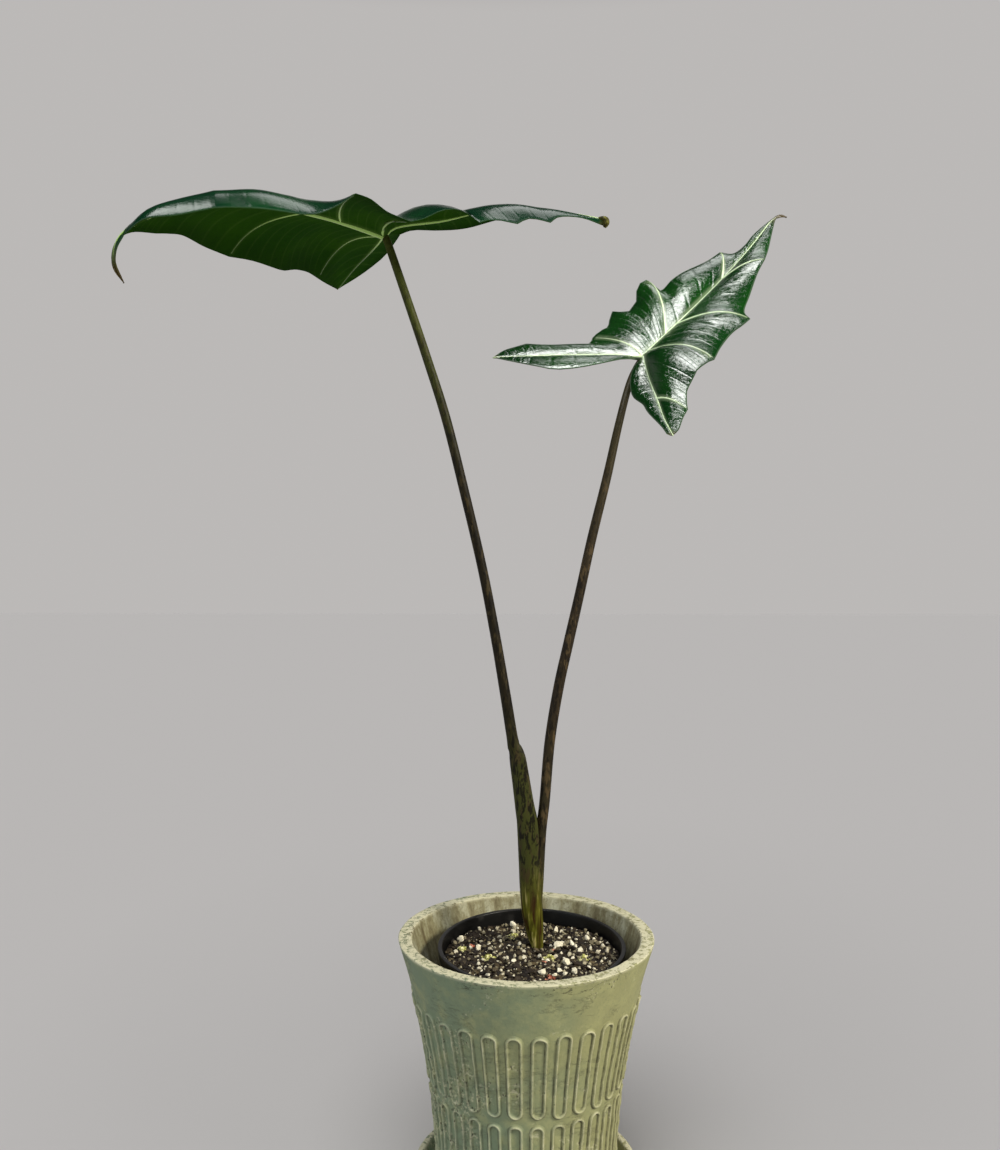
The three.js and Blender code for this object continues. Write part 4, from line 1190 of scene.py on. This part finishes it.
class AROID_OT_soil(bpy.types.Operator):
    """Make the potting mix: a crumbly bed with pale grains, chips of bark and fine grit on it"""

    bl_idname = "aroid.make_soil"
    bl_label = "Potting mix"

    def execute(self, context):
        settings = context.scene.aroid_soil
        draw = np.random.default_rng(SOIL_SEED)
        self.make_bed()
        forms = ball(1), ball(2)
        shape = strew(draw, forms, pale_grain, settings.grains, PALE_EDGE)
        for spot, width in LARGE_GRAINS:
            place = np.array([*spot, SOIL_Z + SOIL_MOUND + width * LARGE_LIFT])
            add_grain(shape, forms[1], draw, place, width / 2, 0.85, 5, draw.uniform(0.85, 1))
        self.finish_grains(shape, "pale_grains")
        self.finish_grains(strew(draw, forms, bark_chip, settings.chips, CHIP_EDGE), "bark_chips")
        self.finish_grains(strew(draw, forms, grit_grain, settings.grit, GRIT_EDGE), "fine_grit")
        self.finish_grains(self.heap_up(draw, forms[0], SOIL_LUMPS, LUMP_GRAINS), "pale_lumps")
        self.finish_grains(self.heap_up(draw, forms[0], RED_BITS, RED_GRAINS), "red_bits")
        return {"FINISHED"}

    def finish_grains(self, shape, name):
        shape.build(name, [grain_material(name)], "soil", sharp=CRISP_EDGE)

    def make_bed(self):
        shape = Shape()
        angles = np.linspace(0, 2 * math.pi, BED_SIDES, endpoint=False)
        rings = SOIL_R * np.sqrt(np.linspace(1, BED_CENTRE, BED_RINGS))
        x = NURSERY_X + rings[:, None] * np.cos(angles)
        y = rings[:, None] * np.sin(angles)
        top = np.stack([x, y, soil_height(x, y)], axis=-1)
        low_r = nursery_radius(SOIL_BOTTOM_Z) - NURSERY_WALL - BED_GAP
        wall = np.stack([NURSERY_X + low_r * np.cos(angles), low_r * np.sin(angles),
                         np.full(BED_SIDES, SOIL_BOTTOM_Z + BED_GAP)], axis=-1)
        points = np.concatenate([wall[None], top])
        faces = grid_faces(len(points), BED_SIDES, round_columns=True)
        last = (len(points) - 1) * BED_SIDES
        faces.append(tuple(range(BED_SIDES))[::-1])
        faces.append(tuple(range(last, last + BED_SIDES)))
        shape.add(points, faces)
        shape.build("soil_bed", [soil_material()], "soil", ["soil"])

    def heap_up(self, draw, form, places, count):
        """Heaps of small grains, one at each place."""
        shape = Shape("tint")
        for (x, y), width in places:
            for _ in range(count):
                off = draw.normal(0, width / HEAP_SPREAD, 2)
                heap = max(0.0, 1 - np.hypot(*off) / (width / 2)) * width * HEAP_SLOPE
                place = np.array([x + off[0], y + off[1], SOIL_Z + SOIL_MOUND + draw.uniform(0, 1) * heap])
                size = draw.uniform(0.7, 1.7)
                add_grain(shape, form, draw, place, size, 0.8, 3, draw.uniform(0, 1))
        return shape


def stem_material(name):
    """Smooth stalk, dark olive brown with fine darker flecks, paler green near the soil and at the leaf, with
    streaks at the foot whose palest ones are a painted highlight.
    """
    low, middle, top, leaf_at = STALK_LOOKS[name]
    paint = Paint(name)
    height = paint.along(paint.place(), 2)
    colour = paint.cover(low, middle, height, SHEATH_TOP * MM, (SHEATH_TOP + SHEATH_FADE) * MM)
    colour = paint.cover(colour, top, height, (leaf_at - 190) * MM, (leaf_at - 10) * MM)
    flecks = paint.noise(paint.place((1, 1, 0.3)), 340, 4, 0.7, 0.6)
    fading = 1 - 0.65 * paint.step(height, (leaf_at - 220) * MM, (leaf_at - 20) * MM)
    pale_flecks = paint.step(paint.noise(paint.place((1, 1, 0.3)), 210, 3, 0.6), 0.52, 0.62)
    colour = paint.mix(pale_flecks * fading * 0.8, colour, shade(middle, 3.4))
    colour = paint.mix(paint.step(flecks, 0.5, 0.56) * fading * 0.9, colour, shade(middle, 0.3))
    near_soil = 1 - paint.step(height, STEM_FOOT[0] * MM, STEM_FOOT[1] * MM)
    streaks = paint.noise(paint.place((1, 1, 0.08)), 290, 3, 0.6)
    # Streaks at the foot: the brown and olive ones are the sheath's own colour, and the pale yellow top stop
    # is a painted highlight
    foot = paint.ramp(streaks, (0.36, (0.03, 0.011, 0.004)), (0.46, (0.05, 0.046, 0.006)),
                      (0.56, (0.11, 0.11, 0.012)), (0.68, (0.5, 0.42, 0.16)))
    colour = paint.mix(near_soil * 0.85, colour, foot)
    lines = paint.noise(paint.place((1, 1, 0.03)), 600, 2)
    normal = paint.bump(lines, 0.15, 0.6, paint.bump(flecks, 0.2, 0.5))
    return paint.finish(base_color=colour, roughness=0.5 - 0.18 * near_soil, normal=normal,
                        specular_ior_level=0.12)


def add_stem(shape, stations, channel=None):
    """A stalk through its stations. A channel opens its right side between two heights."""
    middles = np.array([at for at, _, _ in stations], float)
    length = lengths_along(middles)
    shares = np.linspace(0, 1, math.ceil(length[-1] / STEM_STEP))
    line = smooth_run(middles, shares)
    along = shares * length[-1]
    wide = np.interp(along, length, [wide for _, wide, _ in stations])
    deep = np.interp(along, length, [deep for _, _, deep in stations])
    soft = np.ones(2 * SOFTEN + 1) / (2 * SOFTEN + 1)
    for width in (wide, deep):
        width[SOFTEN:-SOFTEN] = np.convolve(width, soft, "valid")
    tangent = unit(np.gradient(line, axis=0))
    side = unit(np.cross(np.tile([0.0, 1, 0], (len(line), 1)), tangent))
    front = np.cross(tangent, side)
    form = np.ones((len(line), STEM_SIDES))
    if channel:
        turns = np.linspace(0, 2 * math.pi, STEM_SIDES, endpoint=False)
        turns = np.abs(np.where(turns > math.pi, turns - 2 * math.pi, turns))
        shown = np.interp(line[:, 2], channel, (0, 1, 1, 0))
        dip = np.exp(-(turns / CHANNEL_WIDTH) ** 2)
        wing = np.exp(-((turns - WING_ANGLE) / WING_WIDTH) ** 2)
        form += shown[:, None] * (WING_RISE * wing - CHANNEL_DEPTH * dip)
    sweep(shape, line, side, front, wide, deep, deep, STEM_SIDES, form=form)


class AROID_OT_stems(bpy.types.Operator):
    """Make the two leaf stalks, the left one with the sheath that clasps the right one"""

    bl_idname = "aroid.make_stems"
    bl_label = "Stems"

    def execute(self, context):
        for side, stations, channel in (("left", LEFT_STEM, SHEATH_CHANNEL), ("right", RIGHT_STEM, None)):
            shape = Shape()
            add_stem(shape, stations, channel)
            shape.build(side + "_stalk", [stem_material(side + "_stalk")], "stem", [side + "_stem"])
        return {"FINISHED"}


def eased(steps):
    """Shares from 0 to 1 that lie closer together at both ends."""
    even = np.linspace(0, 1, steps + 1)
    return lerp(even, 0.5 - 0.5 * np.cos(math.pi * even), 0.6)


def midrib_places(leaf):
    """Places along the midrib where rulings start, the same for both halves so that they meet on it."""
    veins = leaf["left"]["veins"] + leaf["right"]["veins"]
    ends = sorted({0 if one["mid"] is None else one["mid"] for one in veins}, reverse=True)
    places = [np.array(ends[:1], float)]
    for start, end in zip(ends, ends[1:]):
        steps = max(2, math.ceil((start - end) / MIDRIB_STEP))
        places.append(lerp(start, end, eased(steps))[1:])
    return np.concatenate(places)


def outer_rulings(leaf, half):
    """The rulings of one half of a blade, from a rib to the edge, from the drip tip to the lobe's end.

    Each has a root and an edge point, an arch, its share of the bay between two veins, its place along
    the side rib, and its line: the number of the vein before it plus that share.
    """
    on_midrib = midrib_places(leaf)
    spans = []
    for number, (this, after) in enumerate(zip(half["veins"], half["veins"][1:])):
        starts_on_midrib = this["mid"] is not None
        start = this["mid"] if starts_on_midrib else this["rib"]
        end = (after["mid"] or 0) if starts_on_midrib else after["rib"]
        if starts_on_midrib:
            places = on_midrib[(on_midrib < start + TINY) & (on_midrib > end - TINY)]
        else:
            places = lerp(start, end, eased(RIB_STEPS))
        shares = (start - places) / (start - end)
        span = {
            "root": smooth_run(leaf["midrib"] if starts_on_midrib else half["rib"], places),
            "edge": smooth_run([this["edge"], *this["bay"], after["edge"]], shares),
            "arch": lerp(this["arch"], after["arch"], shares),
            "share": shares,
            "place": np.zeros(len(places)) if starts_on_midrib else places,
            "line": number + shares,
        }
        skipped = 0 if number == 0 else 1
        spans.append({key: values[skipped:] for key, values in span.items()})
    return {key: np.concatenate([span[key] for span in spans]) for key in spans[0]}


def halves_of(leaf):
    """The halves of a blade, each with its ruling at the stalk, its outer and inner rulings and its side."""
    halves = []
    for half, over in ((leaf["left"], False), (leaf["right"], True)):
        outer = outer_rulings(leaf, half)
        from_stalk = np.linalg.norm(outer["root"] - np.array(half["rib"][0], float), axis=1)
        stalk = int(np.argmin(from_stalk))
        inner = {key: values[stalk:] for key, values in outer.items()}
        inner["edge"] = smooth_run([leaf["sinus"], *half["inner"], half["rib"][-1]], inner["place"])
        inner["arch"] = np.full(len(inner["place"]), half["inner_arch"])
        inner["share"] = (inner["place"] * INNER_PUCKERS) % 1
        halves.append((half, stalk, outer, inner, over))
    return halves


def lay_out(rulings, bow, straight_first):
    """The points of one patch of rulings, and how high its arch and its puckers lift each of them."""
    root, edge = rulings["root"], rulings["edge"]
    ahead = np.vstack([root[1:], root[-1:]])
    behind = np.vstack([root[:1], root[:-1]])
    along = unit(ahead - behind)
    padded = np.pad(along, ((SOFTEN, SOFTEN), (0, 0)), "edge")
    along = unit(sum(padded[k:k + len(along)] for k in range(2 * SOFTEN + 1)))
    reach = np.linalg.norm(edge - root, axis=1)
    bend = bow * reach
    if straight_first:
        bend[0] = 0
    t = ACROSS
    points = root[:, None] + (edge - root)[:, None] * t[:, None]
    points += along[:, None] * (bend[:, None] * 4 * t * (1 - t))[..., None]
    arch = reach[:, None] * np.sin(math.pi * t) * rulings["arch"][:, None]
    pucker = np.sin(math.pi * rulings["share"])[:, None] ** 2 * np.sin(math.pi * t ** PUCKER_CREST)
    return points, arch, reach[:, None] * pucker


def point_normals(points, faces):
    """The way that the surface faces at each point, larger faces counting for more."""
    normals = np.zeros_like(points)
    for count in (3, 4):
        some = np.array([face for face in faces if len(face) == count])
        if len(some):
            one = points[some[:, 2]] - points[some[:, 0]]
            other = points[some[:, -1]] - points[some[:, 1]]
            facing = np.cross(one, other)
            for k in range(count):
                np.add.at(normals, some[:, k], facing)
    return unit(normals)


def nearest(points, line):
    """Distance of each point to a line of points, and the share of the line where it is nearest."""
    best = np.full(len(points), np.inf)
    share = np.zeros(len(points))
    length = lengths_along(line)
    for k, (start, end) in enumerate(zip(line, line[1:])):
        step = end - start
        size = step @ step
        if size < TINY:
            continue
        at = np.clip((points - start) @ step / size, 0, 1)
        far = np.linalg.norm(points - start - at[:, None] * step, axis=1)
        closer = far < best
        best[closer] = far[closer]
        share[closer] = (length[k] + at[closer] * math.sqrt(size)) / length[-1]
    return best, share


def open_edges(faces):
    """Edges that only one face uses, in that face's direction."""
    found = {}
    for face in faces:
        for one, other in zip(face, face[1:] + face[:1]):
            if (other, one) in found:
                del found[other, one]
            else:
                found[one, other] = True
    return list(found)


def weld(points, faces):
    """Joins points that lie together: which points are kept, the new number of each, and the faces."""
    _, kept, numbers = np.unique(np.round(points, 2), axis=0, return_index=True, return_inverse=True)
    numbers = numbers.ravel()
    joined = []
    for face in faces:
        corners = list(dict.fromkeys(int(numbers[k]) for k in face))
        if len(corners) > 2:
            joined.append(corners)
    return kept, numbers, joined


def rib_lines(halves, rows):
    """The points along each rib and vein from its root, by number, and its kind."""
    stalk = halves[0][1]
    lines = [(rows[0][:stalk + 1, 0][::-1], "midrib")]
    for (half, _, outer, _, _), outer_rows, inner_rows in zip(halves, rows[::2], rows[1::2]):
        lines.append((inner_rows[:, 0], half.get("rib_kind", "side_rib")))
        for number in range(1, len(half["veins"]) - 1):
            row = int(np.argmin(np.abs(outer["line"] - number)))
            if not half["veins"][number]["faint"]:
                lines.append((outer_rows[row][ACROSS < VEIN_END], "vein"))
    return lines


def blade_of(leaf):
    """The middle surface of a leaf: its points, normals and faces, its ribs and veins, and marks."""
    halves = halves_of(leaf)
    parts = {"flat": [], "arch": [], "pucker": [], "line": [], "across": []}
    faces = []
    rows = []
    count = 0
    for _, _, outer, inner, over in halves:
        for rulings, bow, straight in ((outer, -VEIN_BOW, False), (inner, INNER_BOW, True)):
            points, arch, pucker = lay_out(rulings, bow, straight)
            long, wide = points.shape[:2]
            parts["flat"].append(points.reshape(-1, 3))
            parts["arch"].append(arch.ravel())
            parts["pucker"].append(pucker.ravel())
            parts["line"].append(np.repeat(rulings["line"], wide))
            parts["across"].append(np.tile(ACROSS, long))
            turned_over = over != straight
            faces += [[count + k for k in face] for face in grid_faces(long, wide, turned_over=turned_over)]
            rows.append(count + np.arange(long * wide).reshape(long, wide))
            count += long * wide
    parts = {key: np.concatenate(values) for key, values in parts.items()}
    kept, numbers, faces = weld(parts["flat"], faces)
    parts = {key: values[kept] for key, values in parts.items()}
    height = parts["arch"] + leaf["pucker"] * parts["pucker"]
    points = parts["flat"] + point_normals(parts["flat"], faces) * height[:, None]
    return {
        "points": points,
        "normals": point_normals(points, faces),
        "faces": faces,
        "ribs": [(numbers[line], kind) for line, kind in rib_lines(halves, rows)],
        "line": parts["line"],
        "across": parts["across"],
        "edge": open_edges(faces),
        "tip": np.array(leaf["midrib"][-1], float),
        "ends": [np.array(half["rib"][-1], float) for half in (leaf["left"], leaf["right"])],
    }


def rib_widths(kind, shares, settings):
    """Half the width of a rib or vein along its length, in millimetres."""
    setting, part, end, thinning, _ = RIB_KINDS[kind]
    return lerp(getattr(settings, setting) * part, end, shares ** thinning)


def near_point(points, place, reach):
    """1 at a place, falling to 0 at a distance from it."""
    return np.clip(1 - np.linalg.norm(points - place, axis=1) / reach, 0, 1)


def distance_to_edge(points, edge_points):
    """Distance of each point to the nearest of the edge's points, worked out in batches."""
    found = []
    for start in range(0, len(points), NEAR_BATCH):
        gaps = np.linalg.norm(points[start:start + NEAR_BATCH, None] - edge_points[None], axis=2)
        found.append(gaps.min(axis=1))
    return np.concatenate(found)


def make_leaf(name, leaf, settings, replaced, materials):
    """A leaf with its two faces, the edge that joins them, and its ribs and veins."""
    blade = blade_of(leaf)
    points, normals, faces, tip = (blade[key] for key in ("points", "normals", "faces", "tip"))
    vein = np.zeros(len(points))
    fillet = np.zeros(len(points))
    shape = Shape("vein", "margin", "line", "across", "tip", "lobe_end", "run")
    lines = []
    for numbers, kind in blade["ribs"]:
        line = points[numbers]
        keep = np.concatenate([[True], np.linalg.norm(np.diff(line, axis=0), axis=1) > SHORT_STEP])
        line = line[keep]
        far, share = nearest(points, line)
        width = rib_widths(kind, share, settings)
        vein = np.maximum(vein, np.exp(-(np.maximum(far - width, 0) / (0.55 * width + 0.4)) ** 2))
        fillet = np.maximum(fillet, width * 0.5 * np.exp(-(far / (FILLET_REACH * width)) ** 2))
        lines.append((line, normals[numbers][keep], kind))
    edge = sorted({k for pair in blade["edge"] for k in pair})
    margin = distance_to_edge(points, points[edge])
    half = settings.blade / 2 * lerp(BLADE_EDGE, 1, np.clip(margin / EDGE_TAPER, 0, 1))
    marks = {
        "vein": vein,
        "margin": np.clip(1 - margin / MARGIN_WIDTH, 0, 1),
        "line": blade["line"],
        "across": blade["across"],
        "tip": near_point(points, tip, TIP_REACH),
        "lobe_end": np.max([near_point(points, end, LOBE_END_REACH) for end in blade["ends"]], axis=0),
    }
    shape.add(points + normals * half[:, None], faces, 0, **marks)
    shape.add(points - normals * (half + fillet)[:, None], [face[::-1] for face in faces], 1, **marks)
    count = len(points)
    rim = [(a, a + count, b + count, b) for a, b in blade["edge"]]
    shape.faces += rim
    shape.slots += [0] * len(rim)
    for line, up, kind in lines:
        shares = np.linspace(0, 1, len(line))
        widths = rib_widths(kind, shares, settings)
        side = unit(np.cross(unit(np.gradient(line, axis=0)), up))
        rises = settings.blade / 2 + np.minimum(RIB_RISE, widths * RIB_RISE)
        drops = settings.blade / 2 + widths * RIB_DROP
        run = shares * RIB_KINDS[kind][-1]
        sweep(shape, line, side, up, widths, rises, drops, RIB_SIDES, slot=2, run=run,
              tip=near_point(line, tip, TIP_REACH))
    return shape.build(name, materials, "leaf", [replaced])


def ripple_field(paint, fine, broad):
    """Noise drawn out along the veins."""
    sockets = {0: paint.mark("line") * fine, 1: paint.mark("across") * broad}
    return paint.noise(paint.node("ShaderNodeCombineXYZ", None, sockets), 1.0, 3, 0.55, 0.4)


def fine_veins(paint, width):
    """Threads between the veins, five to each: 1 along them and 0 elsewhere."""
    fold = paint.node("ShaderNodeMath", {"operation": "PINGPONG"}, {0: paint.mark("line") * 5, 1: 0.5})
    return 1 - paint.step(fold, 0.0, width)


def dried_ends(paint, colour, brown):
    """A colour that turns brown towards the drip tip and olive at the ends of the lobes."""
    colour = paint.cover(colour, brown, paint.mark("tip"), 0.45, 0.9)
    return paint.cover(colour, (0.045, 0.05, 0.012), paint.mark("lobe_end"), 0.3, 0.8)


def glossy_material(name, green, veins, look):
    """Upper face: deep green with a gloss, ripples that run along the veins and a duller, paler edge."""
    paint = Paint(name)
    here = paint.place()
    broad = paint.noise(here, 22, 3, 0.6)
    fine = paint.noise(here, 160, 4, 0.6)
    bright = (green[0] * 2.2, green[1] * 1.7, green[2] * 1.2)
    colour = paint.cover(green, bright, broad, 0.38, 0.68)
    colour = paint.cover(colour, shade(green, 0.5), fine, 0.5, 0.72, 0.4)
    colour = paint.mix(paint.mark("vein") * 0.6, colour, blend(green, veins, 0.3))
    edge = paint.mark("margin")
    colour = paint.cover(colour, (0.02, 0.05, 0.008), edge, 0.35, 0.9, 0.55)
    colour = dried_ends(paint, colour, (0.05, 0.035, 0.012))
    swell = look["ripples"]
    crinkle = paint.noise(paint.place((1, 1, 1.6)), 210, 4, 0.6, 1.2)
    threads = paint.bump(fine_veins(paint, 0.16), -0.26 * swell, 0.7, paint.bump(crinkle, 0.5 * swell, 0.7))
    creases = paint.bump(ripple_field(paint, 6, 1.6), 0.22 * swell, 0.8, threads)
    normal = paint.bump(ripple_field(paint, 1.7, 1.3), 1.9 * swell, 0.8, creases)
    dull = paint.step(edge, 0.1, 0.5)
    coat = look["coat"] * (1 - dull) if look["coat"] else 0
    return paint.finish(base_color=colour, roughness=look["rough"] + 0.1 * fine + 0.7 * dull, normal=normal,
                        specular_ior_level=look["shine"], coat_weight=coat,
                        coat_roughness=look["rough"] + 0.08)


def underside_material(name, under, veins):
    """Lower face: duller olive green, with painted shade that darkens it towards the edge and leaves it
    brighter near the ribs, and with faint threads between the veins.
    """
    paint = Paint(name)
    here = paint.place()
    olive = (under[0] * 1.7, under[1] * 1.35, under[2] * 1.1)
    colour = paint.cover(under, olive, paint.noise(here, 18, 3, 0.6), 0.36, 0.66)
    fine = paint.noise(here, 190, 4, 0.6)
    colour = paint.cover(colour, shade(under, 0.55), fine, 0.5, 0.75, 0.3)
    colour = paint.mix(paint.mark("vein") * 0.5, colour, blend(under, veins, 0.2))
    threads = fine_veins(paint, 0.12)
    colour = paint.mix(threads * 0.03, colour, veins)
    # Painted shade: darker over the outer part of each ruling, towards the edge, so the blade near the ribs
    # looks lit through
    colour = paint.cover(colour, shade(under, 0.4), paint.mark("across"), 0.55, 1.0, 0.5)
    colour = dried_ends(paint, colour, (0.04, 0.03, 0.012))
    normal = paint.bump(ripple_field(paint, 6, 1.6), 0.5, 0.8, paint.bump(threads, 0.12, 0.6))
    return paint.finish(base_color=colour, roughness=0.45 + 0.1 * fine, normal=normal, specular_ior_level=0.0,
                        coat_weight=0.04, coat_roughness=0.4)


def rib_material(name, under, veins, look):
    """Ribs and veins: their own colour, which fades towards the underside's green along their run."""
    paint = Paint(name)
    fine = paint.noise(paint.place(), 260, 3, 0.6)
    colour = paint.cover(veins, blend(under, veins, look["kept"]), paint.mark("run"), *look["fade"], 0.9)
    colour = paint.cover(colour, shade(veins, 0.7), fine, 0.45, 0.8, 0.3)
    colour = paint.cover(colour, (0.05, 0.035, 0.012), paint.mark("tip"), 0.4, 0.8)
    return paint.finish(base_color=colour, roughness=0.4, normal=paint.bump(fine, 0.08, 0.5))


def rolled_end_material():
    """The dried and rolled end of a lobe, ochre with dark flecks."""
    paint = Paint("rolled_end")
    flecks = paint.noise(paint.place(), 420, 4, 0.65)
    colour = paint.ramp(flecks, (0.4, (0.012, 0.009, 0.002)), (0.52, (0.045, 0.042, 0.005)),
                        (0.68, (0.13, 0.125, 0.012)))
    return paint.finish(base_color=colour, roughness=0.5, normal=paint.bump(flecks, 0.15, 0.7),
                        specular_ior_level=0.1)


class AROID_OT_leaves(bpy.types.Operator):
    """Make the two lobed leaves with their ribs, veins and toothed edges"""

    bl_idname = "aroid.make_leaves"
    bl_label = "Leaves"

    def execute(self, context):
        settings = context.scene.aroid_leaf
        for name, leaf, green, veins in (
                ("left_leaf", LEFT_LEAF, settings.teal, settings.under_veins),
                ("right_leaf", RIGHT_LEAF, settings.glossy, settings.veins)):
            look = LEAF_LOOKS[name]
            materials = [
                glossy_material(name + "_gloss", green, veins, look),
                underside_material(name + "_under", settings.under, veins),
                rib_material(name + "_rib", settings.under, veins, look),
            ]
            make_leaf(name + "_fine", leaf, settings, name, materials)
        self.make_rolled_end()
        return {"FINISHED"}

    def make_rolled_end(self):
        shape = Shape()
        shares = np.linspace(0, 1, RUN_STEPS)
        line = smooth_run([place for place, _ in ROLLED_END], shares)
        width = np.interp(shares, np.linspace(0, 1, len(ROLLED_END)), [half for _, half in ROLLED_END])
        tangent = unit(np.gradient(line, axis=0))
        side = unit(np.cross(np.tile([0.0, 1, 0], (RUN_STEPS, 1)), tangent))
        sweep(shape, line, side, np.cross(tangent, side), width, width, width, 2 * RIB_SIDES)
        shape.build("rolled_lobe_end", [rolled_end_material()], "leaf")


def add_floor(scene, settings):
    mesh = bpy.data.meshes.new("floor")
    corners = [(x * FLOOR_REACH, y * FLOOR_REACH, 0) for x, y in ((-1, -1), (1, -1), (1, 1), (-1, 1))]
    mesh.from_pydata(corners, [], [(0, 1, 2, 3)])
    paint = Paint("pale_floor")
    mesh.materials.append(paint.finish(base_color=settings.floor, roughness=0.9, specular_ior_level=0))
    floor = bpy.data.objects.new("floor", mesh)
    scene.collection.objects.link(floor)
    return floor


def add_sky(scene, settings):
    """Even light from the sides, dark from straight above, so that glossy leaves keep their dark green."""
    paint = Paint("soft_sky", is_world=True)
    upward = paint.along(paint.node("ShaderNodeTexCoord"), 2)
    colour = paint.ramp(upward, *SKY_STOPS)
    background = paint.node("ShaderNodeBackground", None, {"Color": colour, "Strength": settings.sky})
    scene.world = paint.close("ShaderNodeOutputWorld", background)


def add_light(scene, name, kind, power, heading):
    """A light that shines along a heading."""
    light = bpy.data.lights.new(name, kind)
    light.energy = power
    lamp = bpy.data.objects.new(name, light)
    lamp.rotation_euler = Vector(heading).to_track_quat("-Z", "Y").to_euler()
    scene.collection.objects.link(lamp)
    return light, lamp


def add_lights(scene, settings, floor):
    """The lamps, which leave the floor alone, and the soft light from above, which has no reflection."""
    spared = bpy.data.collections.new("not_lit_by_lamps")
    spared.objects.link(floor)
    spared.collection_objects[0].light_linking.link_state = "EXCLUDE"
    powers = (settings.top_power, settings.back_power, settings.left_power, settings.right_power)
    for (name, place, aim, size, colour, on_dull), power in zip(LAMPS, powers):
        light, lamp = add_light(scene, name, "AREA", power, Vector(aim) - Vector(place))
        light.shape = "RECTANGLE"
        light.size, light.size_y = size
        light.color = colour
        lamp.location = place
        lamp.visible_camera = False
        lamp.visible_diffuse = on_dull
        lamp.light_linking.receiver_collection = spared
    light, lamp = add_light(scene, "soft_sky_light", "SUN", settings.sun, -Vector(SUN_FROM))
    light.angle = SUN_SPREAD
    lamp.visible_glossy = False


def add_camera(scene):
    view = bpy.data.cameras.new("camera")
    view.sensor_width = SENSOR
    view.lens = SENSOR * FOCAL_PIXELS / PHOTO_HEIGHT
    camera = bpy.data.objects.new("camera", view)
    camera.location = Vector(CAMERA_AT) * MM
    camera.rotation_euler = (math.radians(90 - CAMERA_PITCH), 0, math.radians(CAMERA_YAW))
    scene.collection.objects.link(camera)
    scene.camera = camera


class AROID_OT_stage(bpy.types.Operator):
    """Make the floor, the lights and the camera"""

    bl_idname = "aroid.make_stage"
    bl_label = "Stage"

    def execute(self, context):
        scene = context.scene
        settings = scene.aroid_stage
        floor = add_floor(scene, settings)
        add_sky(scene, settings)
        add_lights(scene, settings, floor)
        add_camera(scene)
        scene.view_settings.view_transform = "Standard"
        return {"FINISHED"}


class AROID_PT_panel(bpy.types.Panel):
    """Lists the operators that build the plant"""

    bl_idname = "AROID_PT_panel"
    bl_label = "Potted aroid"
    bl_space_type = "VIEW_3D"
    bl_region_type = "UI"
    bl_category = "Aroid"

    def draw(self, context):
        for operator in OPERATORS:
            self.layout.operator(operator.bl_idname)
        for name in SETTINGS:
            settings = getattr(context.scene, name)
            box = self.layout.box()
            for key in settings.__annotations__:
                box.prop(settings, key)


OPERATORS = (AROID_OT_pot, AROID_OT_saucer, AROID_OT_nursery_pot, AROID_OT_soil, AROID_OT_stems,
             AROID_OT_leaves, AROID_OT_stage)
SETTINGS = {
    "aroid_pot": PotSettings,
    "aroid_soil": SoilSettings,
    "aroid_leaf": LeafSettings,
    "aroid_stage": StageSettings,
}


def register():
    for name, group in SETTINGS.items():
        bpy.utils.register_class(group)
        setattr(bpy.types.Scene, name, PointerProperty(type=group))
    for operator in OPERATORS:
        bpy.utils.register_class(operator)
    bpy.utils.register_class(AROID_PT_panel)


def unregister():
    bpy.utils.unregister_class(AROID_PT_panel)
    for operator in reversed(OPERATORS):
        bpy.utils.unregister_class(operator)
    for name, group in SETTINGS.items():
        delattr(bpy.types.Scene, name)
        bpy.utils.unregister_class(group)


def main():
    register()
    for operator in OPERATORS:
        group, action = operator.bl_idname.split(".")
        getattr(getattr(bpy.ops, group), action)()


if __name__ == "__main__":
    main()
